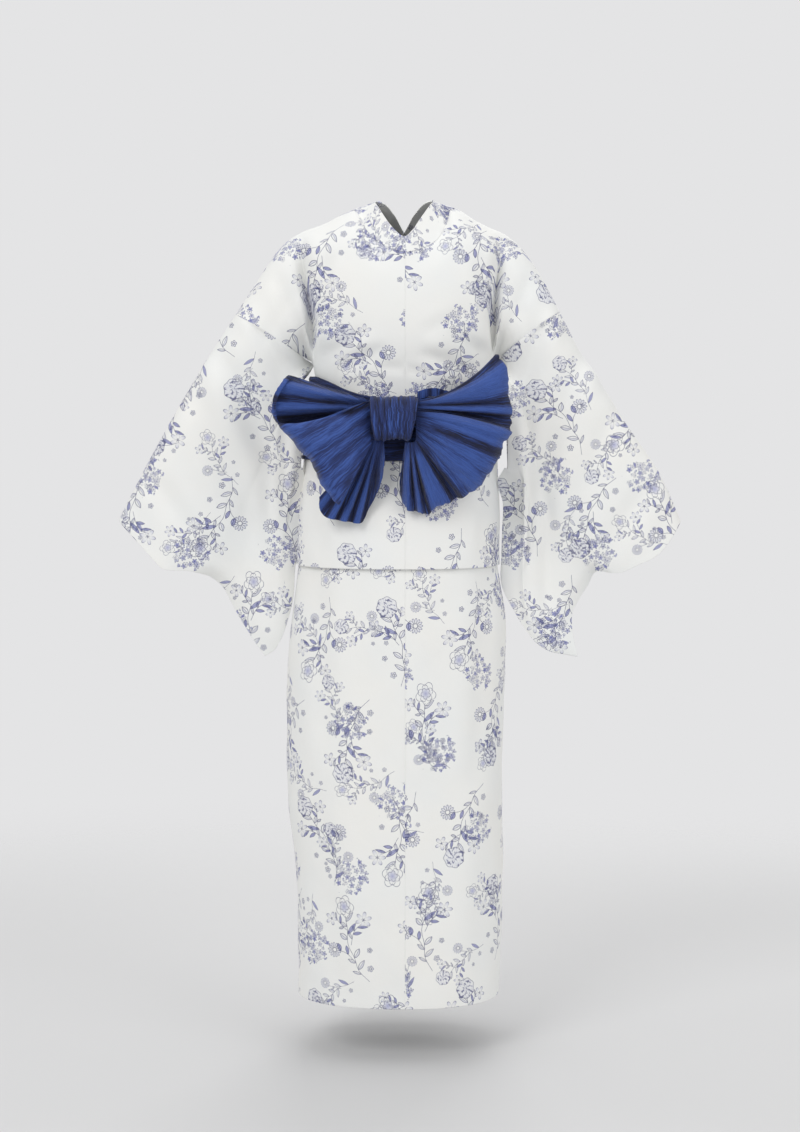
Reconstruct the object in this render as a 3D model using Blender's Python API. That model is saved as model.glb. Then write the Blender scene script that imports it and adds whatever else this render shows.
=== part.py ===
"""A woman's cotton yukata with its bow sash, hollow, in the pose its cut takes on a general figure.

The wearer's back faces -Y, the wearer's right is +X and up is +Z. The origin lies between the shoulders.
"""

import bpy
import numpy as np

COTTON = 0.0012  # wall of the robe's cloth
SASH = 0.0014  # wall of the sash's cloth
SEAM = 0.0003  # gap between two pieces at a seam
LAYER = 0.0027  # from one layer of the skirt to the next, wall and all
LIFT = 0.0062  # from the under front to the over front, above the belt
ROUND = 2.3  # power of the body's rounded plan, 2 is an ellipse
WAIST_SPLIT = -0.345  # height under the belt where upper and lower panels meet
TUCK_EDGE = -0.562  # lower edge of the waist tuck
HEM = -1.2500
TUCK_OUT = 0.0056  # the tuck's distance outside the skirt
BELT_OUT = 0.0092  # the belt's distance outside the panels
BELT_FOOT = -0.397
COLLAR_WIDTH = 0.050
ARM_DEPTH = 0.050  # half of the cloth's depth round the upper arm

# The body's plan by height: half widths left and right of the back seam, depth behind and in front.
BODY = (
    # z, left, right, back, front
    (0.000, 0.205, 0.200, 0.060, 0.040),
    (-0.050, 0.195, 0.190, 0.082, 0.062),
    (-0.100, 0.185, 0.178, 0.096, 0.090),
    (-0.150, 0.172, 0.164, 0.102, 0.110),
    (-0.200, 0.158, 0.150, 0.102, 0.120),
    (-0.270, 0.141, 0.136, 0.0942, 0.111),
    (-0.345, 0.145, 0.138, 0.0932, 0.107),
    (-0.400, 0.154, 0.140, 0.0982, 0.108),
    (-0.480, 0.162, 0.142, 0.110, 0.113),
    (-0.562, 0.166, 0.144, 0.118, 0.116),
    (-0.640, 0.177, 0.158, 0.121, 0.117),
    (-0.720, 0.185, 0.158, 0.121, 0.117),
    (-0.850, 0.188, 0.154, 0.121, 0.117),
    (-0.940, 0.186, 0.155, 0.121, 0.117),
    (-1.040, 0.174, 0.156, 0.121, 0.117),
    (-1.250, 0.170, 0.150, 0.121, 0.117),
)
# The share of the half girth, from the back seam, at which the side seam lies.
SIDE_SEAM = ((-0.250, 0.52), (-0.345, 0.57), (-0.480, 0.62), (-1.250, 0.62))

# The top of each back panel from the back seam: along the collar seam, then the shoulder, to the arm seam.
TOP = {
    -1: (
        # x, y, z
        (0.000, -0.092, -0.078),
        (-0.038, -0.079, -0.065),
        (-0.064, -0.046, -0.035),
        (-0.080, 0.000, -0.008),
        (-0.102, 0.000, -0.017),
        (-0.127, 0.000, -0.030),
        (-0.158, 0.000, -0.041),
        (-0.178, 0.000, -0.052),
        (-0.198, 0.000, -0.070),
        (-0.220, 0.000, -0.101),
        (-0.242, 0.000, -0.134),
        (-0.266, 0.000, -0.171),
    ),
    1: (
        (0.000, -0.092, -0.078),
        (0.038, -0.079, -0.067),
        (0.063, -0.046, -0.036),
        (0.078, 0.000, -0.006),
        (0.102, 0.000, -0.020),
        (0.127, 0.000, -0.033),
        (0.158, 0.000, -0.047),
        (0.178, 0.000, -0.063),
        (0.202, 0.000, -0.093),
        (0.221, 0.000, -0.125),
        (0.243, 0.000, -0.166),
    ),
}
NECK_SIDE = 3  # row of TOP where the shoulder begins
# The arm seam in the view from behind, from the top of the arm to the armpit.
ARM_SEAM = {
    -1: ((-0.266, -0.171), (-0.226, -0.192), (-0.182, -0.221), (-0.141, -0.250)),
    1: ((0.243, -0.166), (0.206, -0.189), (0.170, -0.218), (0.136, -0.250)),
}
VALLEY = {-1: 0.590, 1: 0.590}  # share of the top at which the fold behind the arm lies

# Sleeve outlines in the view from behind.
SLEEVE_TOP = {
    -1: (
        # x, z from the arm seam to the wrist
        (-0.266, -0.171),
        (-0.293, -0.212),
        (-0.326, -0.265),
        (-0.360, -0.322),
        (-0.406, -0.404),
        (-0.453, -0.494),
    ),
    1: (
        (0.243, -0.166),
        (0.274, -0.226),
        (0.299, -0.262),
        (0.344, -0.335),
        (0.403, -0.422),
        (0.436, -0.494),
    ),
}
SLEEVE_SLIT = {
    -1: (
        # x, z of the sleeve's free inner edge, from the armpit down beside the belt
        (-0.1425, -0.250),
        (-0.1600, -0.270),
        (-0.162, -0.310),
        (-0.166, -0.360),
        (-0.170, -0.410),
    ),
    1: (
        (0.1375, -0.250),
        (0.1565, -0.270),
        (0.163, -0.310),
        (0.174, -0.360),
        (0.182, -0.410),
    ),
}
ARMPIT = 0.47  # share of the sleeve's inner side at which the armpit lies
SLEEVE_FOOT = {
    -1: (
        # x, z of the sewn lower edge, from beside the belt to the rounded corner
        (-0.170, -0.410),
        (-0.173, -0.440),
        (-0.179, -0.493),
        (-0.186, -0.541),
        (-0.191, -0.588),
        (-0.192, -0.640),
        (-0.195, -0.672),
        (-0.205, -0.696),
        (-0.222, -0.707),
    ),
    1: (
        (0.182, -0.410),
        (0.187, -0.440),
        (0.188, -0.500),
        (0.187, -0.556),
        (0.184, -0.615),
        (0.187, -0.642),
        (0.197, -0.671),
        (0.214, -0.692),
        (0.244, -0.701),
        (0.272, -0.707),
    ),
}
SLEEVE_CUFF = {
    -1: (
        # x, z of the cuff edge, from the wrist to the rounded corner
        (-0.453, -0.494),
        (-0.430, -0.517),
        (-0.399, -0.550),
        (-0.377, -0.570),
        (-0.350, -0.571),
        (-0.323, -0.576),
        (-0.288, -0.601),
        (-0.268, -0.638),
        (-0.243, -0.676),
        (-0.222, -0.707),
    ),
    1: (
        (0.436, -0.494),
        (0.424, -0.515),
        (0.393, -0.550),
        (0.366, -0.562),
        (0.333, -0.576),
        (0.306, -0.573),
        (0.287, -0.602),
        (0.264, -0.640),
        (0.266, -0.680),
        (0.272, -0.707),
    ),
}
SLEEVE_DEPTH = (
    # share of the way down, half depth at the arm seam, half depth at the cuff
    (0.00, 0.052, 0.034),
    (0.25, 0.050, 0.036),
    (0.45, 0.034, 0.026),
    (0.65, 0.022, 0.014),
    (0.85, 0.015, 0.009),
    (1.00, 0.010, 0.006),
)
SLEEVE_BACK = {-1: 0.036, 1: 0.048}  # how far the lower inner edge hangs behind the arm
STRIP = {-1: 0.006, 1: 0.022}  # width of the edge that turns in beside the body

# The free edge of the collar, in the view from behind and from the side.
COLLAR_EDGE = (
    # share from the left neck side to the right one, x, y, z
    (0.00, -0.047, -0.004, 0.003),
    (0.16, -0.043, -0.036, -0.003),
    (0.33, -0.026, -0.066, -0.030),
    (0.50, -0.001, -0.083, -0.054),
    (0.67, 0.020, -0.067, -0.030),
    (0.84, 0.039, -0.036, -0.002),
    (1.00, 0.045, -0.004, 0.004),
)
CROSSING = 0.055  # how far past the middle the collar seam reaches at the belt

# The top of the belt by sideways distance behind; it is level elsewhere.
BELT_TOP = ((0.00, -0.299), (0.05, -0.299), (0.09, -0.289), (0.12, -0.275), (0.138, -0.268))

# Each row of a bow half is one ray of cloth from the knot to the rim and back.
BOW_RIGHT = (
    # root x, root z, rim x, rim z, sag of the ray, depth in front, depth behind
    (0.0163, -0.3050, 0.139, -0.234, -0.016, -0.135, -0.116),
    (0.0163, -0.3070, 0.150, -0.250, -0.012, -0.152, -0.114),
    (0.0163, -0.3090, 0.156, -0.272, -0.008, -0.160, -0.112),
    (0.0163, -0.3110, 0.158, -0.294, -0.004, -0.156, -0.112),
    (0.0163, -0.3130, 0.160, -0.309, 0.000, -0.146, -0.112),
    (0.0163, -0.3150, 0.162, -0.321, 0.000, -0.156, -0.112),
    (0.0163, -0.3175, 0.161, -0.334, 0.002, -0.134, -0.112),
    (0.0163, -0.3200, 0.160, -0.346, 0.004, -0.146, -0.112),
    (0.0163, -0.3230, 0.159, -0.357, 0.006, -0.170, -0.112),
    (0.0163, -0.3280, 0.149, -0.370, 0.004, -0.173, -0.112),
    (0.0163, -0.3340, 0.145, -0.384, 0.002, -0.167, -0.113),
    (0.0163, -0.3400, 0.138, -0.398, 0.000, -0.171, -0.114),
    (0.0163, -0.3460, 0.125, -0.418, 0.000, -0.168, -0.116),
    (0.0163, -0.3520, 0.108, -0.437, 0.000, -0.160, -0.118),
    (0.0165, -0.3580, 0.091, -0.451, 0.000, -0.150, -0.120),
    (0.0160, -0.3640, 0.080, -0.453, 0.000, -0.133, -0.121),
    (0.0140, -0.3670, 0.062, -0.461, 0.000, -0.148, -0.121),
    (0.0120, -0.3675, 0.046, -0.468, 0.000, -0.154, -0.121),
    (0.0100, -0.3680, 0.035, -0.475, 0.000, -0.136, -0.121),
    (0.0080, -0.3680, 0.025, -0.477, 0.000, -0.150, -0.121),
    (0.0060, -0.3680, 0.014, -0.471, 0.000, -0.134, -0.121),
    (0.0040, -0.3680, 0.004, -0.472, 0.000, -0.147, -0.121),
    (0.0020, -0.3680, -0.003, -0.456, 0.000, -0.135, -0.121),
    (0.0000, -0.3675, -0.009, -0.443, 0.000, -0.130, -0.119),
)
BOW_LEFT = (
    # rim x, rim z, end behind x, z, end in front x, z, depth behind, depth in front
    (-0.177, -0.266, -0.0530, -0.3040, -0.170, -0.272, -0.114, -0.140),
    (-0.190, -0.282, -0.0530, -0.3080, -0.180, -0.288, -0.131, -0.150),
    (-0.199, -0.301, -0.0530, -0.3120, -0.188, -0.306, -0.109, -0.146),
    (-0.202, -0.319, -0.0530, -0.3160, -0.190, -0.323, -0.122, -0.150),
    (-0.197, -0.334, -0.0530, -0.3200, -0.182, -0.342, -0.108, -0.150),
    (-0.191, -0.343, -0.0530, -0.3240, -0.150, -0.337, -0.107, -0.158),
    (-0.186, -0.350, -0.0530, -0.3270, -0.114, -0.327, -0.108, -0.163),
    (-0.180, -0.356, -0.0540, -0.3300, -0.083, -0.315, -0.109, -0.166),
    (-0.172, -0.364, -0.0560, -0.3330, -0.056, -0.306, -0.110, -0.168),
    (-0.161, -0.378, -0.0900, -0.3500, -0.0530, -0.312, -0.112, -0.170),
    (-0.146, -0.392, -0.1150, -0.3720, -0.0530, -0.322, -0.114, -0.171),
    (-0.135, -0.412, -0.1180, -0.3980, -0.0530, -0.333, -0.118, -0.170),
    (-0.127, -0.430, -0.1210, -0.4240, -0.0530, -0.344, -0.140, -0.168),
    (-0.114, -0.447, -0.1090, -0.4420, -0.0530, -0.358, -0.146, -0.166),
    (-0.101, -0.463, -0.0970, -0.4580, -0.0510, -0.371, -0.148, -0.160),
)
BOW_TAIL = (
    # root x, root z, foot x, foot z, depth at the foot
    (-0.0530, -0.3690, -0.131, -0.452, -0.124),
    (-0.0520, -0.3646, -0.131, -0.468, -0.129),
    (-0.0500, -0.3646, -0.124, -0.481, -0.121),
    (-0.0480, -0.3646, -0.114, -0.485, -0.130),
    (-0.0460, -0.3646, -0.104, -0.487, -0.121),
    (-0.0440, -0.3646, -0.094, -0.489, -0.131),
    (-0.0420, -0.3646, -0.084, -0.490, -0.121),
    (-0.0400, -0.3646, -0.075, -0.492, -0.131),
    (-0.0380, -0.3646, -0.066, -0.491, -0.123),
    (-0.0360, -0.3646, -0.058, -0.474, -0.125),
    (-0.0345, -0.3646, -0.048, -0.456, -0.129),
    (-0.0335, -0.3646, -0.036, -0.426, -0.138),
    (-0.0325, -0.3646, -0.031, -0.396, -0.142),
)
KNOT = (
    # x, half height, half depth
    (-0.0520, 0.0285, 0.0230),
    (-0.0490, 0.0320, 0.0265),
    (-0.0350, 0.0325, 0.0280),
    (-0.0180, 0.0318, 0.0285),
    (0.0000, 0.0325, 0.0280),
    (0.0120, 0.0325, 0.0265),
    (0.0155, 0.0290, 0.0235),
)
KNOT_CENTRE = (-0.1318, -0.3315)  # y, z


def fit(known, values, at):
    """Values of a smooth line through known rows, at any place between them."""
    known, values = np.asarray(known, float), np.asarray(values, float)
    at = np.clip(np.asarray(at, float), known[0], known[-1])
    slope = np.gradient(values, known, axis=0)
    row = np.clip(np.searchsorted(known, at, side="right") - 1, 0, len(known) - 2)
    span = known[row + 1] - known[row]
    s = (at - known[row]) / span
    if values.ndim > 1:
        span, s = span[..., None], s[..., None]
    start = (1 + 2 * s) * (1 - s) ** 2 * values[row] + s * (1 - s) ** 2 * span * slope[row]
    end = s * s * (3 - 2 * s) * values[row + 1] - s * s * (1 - s) * span * slope[row + 1]
    return start + end


def line(points, at):
    """Points of a smooth line through a few, at shares of its length."""
    points = np.asarray(points, float)
    steps = np.linalg.norm(np.diff(points, axis=0), axis=1)
    known = np.concatenate([[0.0], np.cumsum(steps)]) / steps.sum()
    return fit(known, points, at)


def ease(x):
    """0 up to x = 0, 1 from x = 1, smooth between."""
    x = np.clip(x, 0.0, 1.0)
    return x * x * (3 - 2 * x)


def roll(x):
    """A quarter round: steep at 0, level from 1."""
    x = np.clip(x, 0.0, 1.0)
    return np.sqrt(np.maximum(1 - (1 - x) ** 2, 0.0))


# Shares of the way from the shoulder to the belt at which the upper panels have a row.
DOWN = np.array([0.0, 0.025, 0.06, 0.12, 0.20, 0.30, 0.42, 0.54, 0.66, 0.78, 0.89, 1.0])
BODY_ROWS = np.array(BODY)[::-1]
SEAM_ROWS = np.array(SIDE_SEAM)[::-1]


def plan(z):
    """Half widths and depths of the body at a height."""
    return fit(BODY_ROWS[:, 0], BODY_ROWS[:, 1:], z)


def body_depth(x, z, front, out=0.0):
    """How far the body's surface lies behind or in front, at x and z, or a layer outside it."""
    left, right, back, ahead = plan(z) + out
    half = left if x < 0 else right
    flat = max(1 - (abs(x) / half) ** ROUND, 0.0) ** (1 / ROUND)
    return ahead * flat if front else -back * flat


RINGS = {}


def ring_point(share, z, out=0.0):
    """A point of the body's outline at z. Share 0 is the back seam, -1 and 1 are the front middle."""
    key = (round(z, 6), round(out, 6), share < 0)
    if key not in RINGS:
        left, right, back, ahead = plan(z) + out
        angle = np.linspace(0.0, np.pi, 181)
        turn = np.cos(angle)
        x = (left if share < 0 else right) * np.maximum(np.sin(angle), 0.0) ** (2 / ROUND)
        y = np.where(turn > 0, -back, ahead) * np.abs(turn) ** (2 / ROUND)
        length = np.concatenate([[0.0], np.cumsum(np.hypot(np.diff(x), np.diff(y)))])
        RINGS[key] = (x, y, length)
    x, y, length = RINGS[key]
    at = min(abs(share), 1.0) * length[-1]
    side = -1 if share < 0 else 1
    return np.array([side * np.interp(at, length, x), np.interp(at, length, y), z])


def side_seam(z):
    return float(np.interp(z, SEAM_ROWS[:, 0], SEAM_ROWS[:, 1]))


def crest(x):
    """Height of the shoulder line at a sideways distance."""
    rows = np.array(TOP[-1 if x < 0 else 1][NECK_SIDE:])
    return float(np.interp(abs(x), np.abs(rows[:, 0]), rows[:, 2]))


def chest(x, z, out=0.0):
    """How far the front of the body lies ahead, at x and z, under the shoulder line."""
    return body_depth(x, z, True, out) * float(roll((crest(x) - z) / 0.075))


def girth_share(share):
    """Shares past the front middle run on to the other side."""
    if share < -1:
        return 2 + share
    return share - 2 if share > 1 else share


def normals(grid):
    """The direction across the cloth at each point of a grid."""
    along_u = np.gradient(grid, axis=0)
    along_v = np.gradient(grid, axis=1)
    across = np.cross(along_u, along_v)
    return across / np.maximum(np.linalg.norm(across, axis=2), 1e-12)[..., None]


def pull_in(grid, sides, by=SEAM / 2):
    """Moves the named borders of a grid in by half a seam's gap."""
    grid = grid.copy()
    for side in sides:
        near, far = {"u0": (0, 1), "u1": (-1, -2)}.get(side, (None, None))
        if near is not None:
            step = grid[far] - grid[near]
            grid[near] += step * by / np.linalg.norm(step, axis=1)[:, None]
            continue
        near, far = {"v0": (0, 1), "v1": (-1, -2)}[side]
        step = grid[:, far] - grid[:, near]
        grid[:, near] += step * by / np.linalg.norm(step, axis=1)[:, None]
    return grid


def solid(name, points, faces, material):
    """One named object from points and faces, turned so that it faces out."""
    points = np.asarray(points, float)
    volume = 0.0
    for face in faces:
        for i in range(1, len(face) - 1):
            a, b, c = points[face[0]], points[face[i]], points[face[i + 1]]
            volume += float(np.dot(a, np.cross(b, c)))
    if volume < 0:
        faces = [face[::-1] for face in faces]
    mesh = bpy.data.meshes.new(name)
    mesh.from_pydata([tuple(p) for p in points], [], faces)
    mesh.materials.append(material)
    mesh.update()
    made = bpy.data.objects.new(name, mesh)
    ROBE.objects.link(made)
    return made


def wall(name, grid, thick, material, square=(), ring=False):
    """Cloth: a grid of points given a wall. Each row of square names a border, an axis and the first
    point from which the wall has no thickness along that axis, so that it meets its neighbour squarely."""
    across = normals(grid)
    if ring:
        along_u = np.roll(grid, -1, axis=0) - np.roll(grid, 1, axis=0)
        across = np.cross(along_u, np.gradient(grid, axis=1))
        across /= np.linalg.norm(across, axis=2)[..., None]
    for border, axis, first in square:
        row = {"u0": across[0], "u1": across[-1], "v0": across[:, 0], "v1": across[:, -1]}[border][first:]
        row[:, axis] = 0.0
        row /= np.linalg.norm(row, axis=1)[:, None]
    nu, nv = grid.shape[:2]
    half = across * thick / 2
    points = np.concatenate([(grid + half).reshape(-1, 3), (grid - half).reshape(-1, 3)])
    back = nu * nv
    faces = []
    last = nu if ring else nu - 1
    for i in range(last):
        j = (i + 1) % nu
        for k in range(nv - 1):
            a, b, c, d = i * nv + k, j * nv + k, j * nv + k + 1, i * nv + k + 1
            faces.append((a, b, c, d))
            faces.append((back + d, back + c, back + b, back + a))
        for k in (0, nv - 1):
            a, b = i * nv + k, j * nv + k
            faces.append((a, back + a, back + b, b) if k == 0 else (a, b, back + b, back + a))
    if not ring:
        for i in (0, nu - 1):
            for k in range(nv - 1):
                a, b = i * nv + k, i * nv + k + 1
                faces.append((a, b, back + b, back + a) if i == 0 else (a, back + a, back + b, b))
    return solid(name, points, faces, material)


def cloth_colour(name, colour, rough):
    material = bpy.data.materials.new(name)
    material.use_nodes = True
    shader = material.node_tree.nodes["Principled BSDF"]
    shader.inputs["Base Color"].default_value = (*colour, 1.0)
    shader.inputs["Roughness"].default_value = rough
    return material


def arm_seam(side, front, t):
    """The seam between body and sleeve, at share t from the top of the arm to the armpit."""
    t = min(t, 1.0)
    x, z = line(ARM_SEAM[side], t)
    reach = 0.20 * t
    y = ARM_DEPTH * roll(reach / 0.05) * (1 - ease((t - 0.55) / 0.45))
    foot = ring_point(side * side_seam(z), z)[1] * ease((t - 0.55) / 0.45)
    return np.array([x, (y if front else -y) + foot, z])


def neck_share(side):
    """The share of a back panel's top that is the collar seam."""
    steps = np.linalg.norm(np.diff(np.array(TOP[side]), axis=0), axis=1)
    return steps[:NECK_SIDE].sum() / steps.sum()


def upper_panel(side, front):
    """The part of a body panel above the belt and under it, as a grid from the middle to the arm."""
    top = np.array(TOP[side])
    start = 0.0
    if front:
        top = top[NECK_SIDE:]
        start = neck_share(side)
    fold = (VALLEY[side] - start) / (1 - start)
    near = (-0.10, -0.05, -0.025, 0.0, 0.025, 0.05, 0.10)
    across = [*np.linspace(0.0, fold - 0.10, 12 if front else 8)[:-1], *(fold + n for n in near)]
    across = np.unique(np.round([*across, *np.linspace(fold + 0.10, 1.0, 5)], 6))
    if not front:
        nape = neck_share(side)
        across[np.argmin(abs(across - nape))] = nape
    crossing = CROSSING if front else 0.0
    grid = np.zeros((len(across), len(DOWN) + 3, 3))
    for i, u in enumerate(across):
        bend = 0.86 * u / fold if u < fold else 0.86 + 0.14 * (u - fold) / (1 - fold)
        out = LIFT * ease((1 - bend) / 0.12) if front and side < 0 else 0.0
        head = line(top, u)
        foot_z = -0.270 + 0.020 * ease(u / 0.85)
        edge = side * side_seam(foot_z)
        if front:
            reach = -side * (1 - crossing / 0.26)
            share = side * 2 + reach + (edge - (side * 2 + reach)) * bend
        else:
            share = edge * (0.80 * u / fold if u < fold else 0.80 + 0.20 * (u - fold) / (1 - fold))
        foot = ring_point(girth_share(share), foot_z, out)
        for k, r in enumerate(DOWN):
            x, z = head[0] + (foot[0] - head[0]) * r, head[2] + (foot[2] - head[2]) * r
            gone = r * np.hypot(foot[0] - head[0], foot[2] - head[2])
            arm = (ARM_DEPTH if front else -ARM_DEPTH) * roll(gone / 0.055)
            if front:
                torso = chest(x, z, out * ease(k / 3))
            else:
                torso = head[1] + (body_depth(x, z, False) - head[1]) * roll(gone / 0.050)
            beyond = ease((u - fold + 0.03) / 0.06) * (1 - ease((r - 0.55) / 0.45))
            y = torso * (1 - beyond) + arm * beyond
            deep = 0.012 if front else 0.026
            deep *= ease(r / 0.35) * (1 - ease((r - 0.75) / 0.25))
            dip = deep * np.exp(-(((u - fold) / 0.030) ** 2))
            y += -dip if front else dip
            if not front:
                y += (foot[1] - y) * ease((r - 0.80) / 0.20)
            point = np.array([x, y, z])
            hold = ease((u - 0.86) / 0.14)
            seam = arm_seam(side, front, r)
            grid[i, k] = point + (seam - point) * hold
        for k, r in enumerate((0.33, 0.67, 1.0)):
            z = foot_z + (WAIST_SPLIT - foot_z) * r
            seam_share = side * side_seam(z)
            share_z = share + (seam_share - edge) * u if front else share / edge * seam_share
            grid[i, len(DOWN) + k] = ring_point(girth_share(share_z), z, out)
    return grid, across


def skirt_panel(start, end, columns, rows, out):
    """Part of the skirt or tuck between two shares of the girth, which may change with height."""
    grid = np.zeros((columns, len(rows), 3))
    for i, u in enumerate(np.linspace(0.0, 1.0, columns)):
        for k, z in enumerate(rows):
            share = start(z) + (end(z) - start(z)) * u
            grid[i, k] = ring_point(girth_share(share), z, out(share, z))
    return grid


def sleeve_wall(side, front):
    """One wall of a sleeve: a patch between its outlines, given the arm's depth and closed at its foot."""
    stations = np.array([0.0, 0.08, 0.18, 0.30, 0.42, 0.54, 0.66, 0.78, 0.88, 0.95, 1.0])
    down = np.concatenate([ARMPIT * DOWN, (0.54, 0.62, 0.70, 0.78, 0.86, 0.93, 1.0)])
    depth = np.array(SLEEVE_DEPTH)
    top, foot = SLEEVE_TOP[side], SLEEVE_FOOT[side]
    slit, cuff = SLEEVE_SLIT[side], SLEEVE_CUFF[side]
    corner = [np.array(p) for p in (top[0], slit[-1], cuff[0], cuff[-1])]
    grid = np.zeros((len(stations), len(down) + 1, 3))
    for i, k in enumerate(stations):
        head, base = line(top, k), line(foot, k)
        for j, t in enumerate(down):
            seam = arm_seam(side, front, t / ARMPIT)
            inner = seam[[0, 2]] if t <= ARMPIT else line(slit, (t - ARMPIT) / (1 - ARMPIT))
            flat = (1 - k) * inner + k * line(cuff, t) + (1 - t) * head + t * base
            flat -= (1 - k) * ((1 - t) * corner[0] + t * corner[1])
            flat -= k * ((1 - t) * corner[2] + t * corner[3])
            gone = np.hypot(*(flat - head))
            half = fit(depth[:, 0], depth[:, 1], t) * (1 - k) + fit(depth[:, 0], depth[:, 2], t) * k
            half *= roll(gone / 0.05)
            sewn = ease((t - 0.50) / 0.06)
            half *= 1 - sewn * (1 - roll((1 - k) / 0.12))
            half *= roll((1 - t) / 0.16 + 0.30 * (1 - ease(k / 0.10)))
            middle = -SLEEVE_BACK[side] * ease((t - 0.25) / 0.5) * (1 - 0.55 * k)
            middle += 0.010 * np.sin(2 * np.pi * (1.6 * t + 0.2)) * k * ease(t / 0.2)
            least = (COTTON / 2 + 1.5 * SEAM) * ease(gone / 0.02) + SEAM / 2
            y = middle + max(half, least) * (1 if front else -1)
            grid[i, j] = (flat[0], y, flat[1])
            hold = (1 - ease(k / 0.12)) * (1 - ease((t - ARMPIT) / 0.12))
            grid[i, j, 1] += (seam[1] - y) * hold
            behind = middle - max(half, least)
        turn = STRIP[side] * (1 - ease((k - 0.45) / 0.35)) * (0.1 + 0.9 * ease(k / 0.16)) + 0.001
        end = np.array([grid[i, -2, 0] - side * turn, behind + 0.9 * turn, grid[i, -2, 2]])
        if front:
            end[1] = max(end[1] + 2.2 * (COTTON + SEAM), grid[i, -2, 1])
        grid[i, -1] = end
    for j, t in enumerate(down):
        step = grid[1, j] - grid[0, j]
        snug = ease((t / ARMPIT - 0.6) / 0.3) * (1 - ease((t - ARMPIT) / 0.1))
        grid[:4, j, 0] += side * np.array([0.003, 0.006, 0.004, 0.002]) * ease(1 - abs(t - ARMPIT) / 0.10)
        grid[0, j] += step / np.linalg.norm(step) * 0.0050 * snug
    return grid


def collar_leg(side):
    """Seam edge and free edge of the collar band on one front, from the neck to under the belt."""
    out = LIFT if side < 0 else 0.0
    seam = upper_panel(side, True)[0][0][:-1]
    neck = np.array(COLLAR_EDGE[0 if side < 0 else -1][1:])
    leg = []
    for k, p in enumerate(seam):
        step = seam[min(k + 1, len(seam) - 1)] - seam[max(k - 1, 0)]
        reach = np.array([-side * abs(step[2]), 0.0, abs(step[0])])
        free = p + reach * COLLAR_WIDTH / np.linalg.norm(reach)
        free[1] = chest(free[0], free[2], out * ease(k / 3))
        if k >= len(DOWN) - 1:
            free = ring_beside(p, -side * COLLAR_WIDTH, out)
        leg.append((p, neck + (free - neck) * ease(np.linalg.norm(p - seam[0]) / 0.06)))
    return leg


def ring_beside(p, way, out):
    """A point of the body's outline at a distance along it from another in front, towards -x or +x."""
    angle = np.linspace(0.0, 1.0, 120)
    side = 1.0 if way > 0 else -1.0
    points = np.array([ring_point(s, p[2], out) for s in side * (1 - 0.5 * angle)])
    gone = np.concatenate([[0.0], np.cumsum(np.linalg.norm(np.diff(points, axis=0), axis=1))])
    start = np.interp(p[0] * side, points[:, 0] * side, gone)
    at = start + abs(way) + min(p[0] * side, 0.0)
    return np.array([np.interp(at, gone, points[:, 0]), np.interp(at, gone, points[:, 1]), p[2]])


def collar():
    """The collar band from the left front round the nape to the right front: seam edge to free edge."""
    left, right = collar_leg(-1)[::-1], collar_leg(1)
    edge = np.array(COLLAR_EDGE)
    nape = []
    for side in (-1, 1):
        grid, across = upper_panel(side, False)
        for u, p in zip(across / neck_share(side), grid[:, 0]):
            if u < 0.999 and (u > 0 or side < 0):
                share = 0.5 + side * u / 2
                nape.append((share, p, fit(edge[:, 0], edge[:, 1:], share)))
    nape = [row[1:] for row in sorted(nape, key=lambda row: row[0])]
    stations = left + nape + right
    grid = np.zeros((len(stations), 4, 3))
    for i, (seam, free) in enumerate(stations):
        k = max(len(left) - 1 - i, i - len(left) - len(nape))
        out = LIFT * ease(k / 3) if i < len(left) else 0.0
        for j, w in enumerate((0.06 if k < 0 else 0.045, 0.35, 0.7, 1.0)):
            grid[i, j] = seam + (free - seam) * w
            if k >= 0:
                x, z = grid[i, j, 0], grid[i, j, 2]
                grid[i, j, 1] += (chest(x, z, out) - grid[i, j, 1]) * ease((-0.03 - z) / 0.04)
    return grid


def belt():
    columns = 44
    shares = np.linspace(-1.0, 1.0, columns + 1)[:-1]
    heights = np.array(BELT_TOP)
    grid = np.zeros((columns, 5, 3))
    for i, share in enumerate(shares):
        probe = ring_point(share, -0.30, BELT_OUT)
        top = -0.268 - 0.012 * ease(probe[1] / 0.02)
        if probe[1] < 0:
            top = float(fit(heights[:, 0], heights[:, 1], abs(probe[0])))
        for k in range(5):
            z = top + (BELT_FOOT - top) * k / 4
            grid[i, k] = ring_point(share, z, BELT_OUT)
    return grid


def bow_right():
    reach = (0.0, 0.14, 0.30, 0.48, 0.66, 0.82, 0.93, 1.0, 0.93, 0.70, 0.40, 0.0)
    grid = np.zeros((len(BOW_RIGHT), len(reach), 3))
    for i, (rx, rz, mx, mz, sag, ahead, behind) in enumerate(BOW_RIGHT):
        middle = (ahead + behind) / 2
        for k, v in enumerate(reach):
            leaf, root = (ahead, -0.136) if k <= 7 else (behind, -0.112)
            x, z = rx + (mx - rx) * v, rz + (mz - rz) * v + sag * 4 * v * (1 - v)
            open_out = ease(v / 0.55)
            y = root + (leaf - root) * open_out
            y = middle + (y - middle) * roll((1 - v) / 0.30)
            grid[i, k] = (x, y, z)
    return grid


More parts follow.
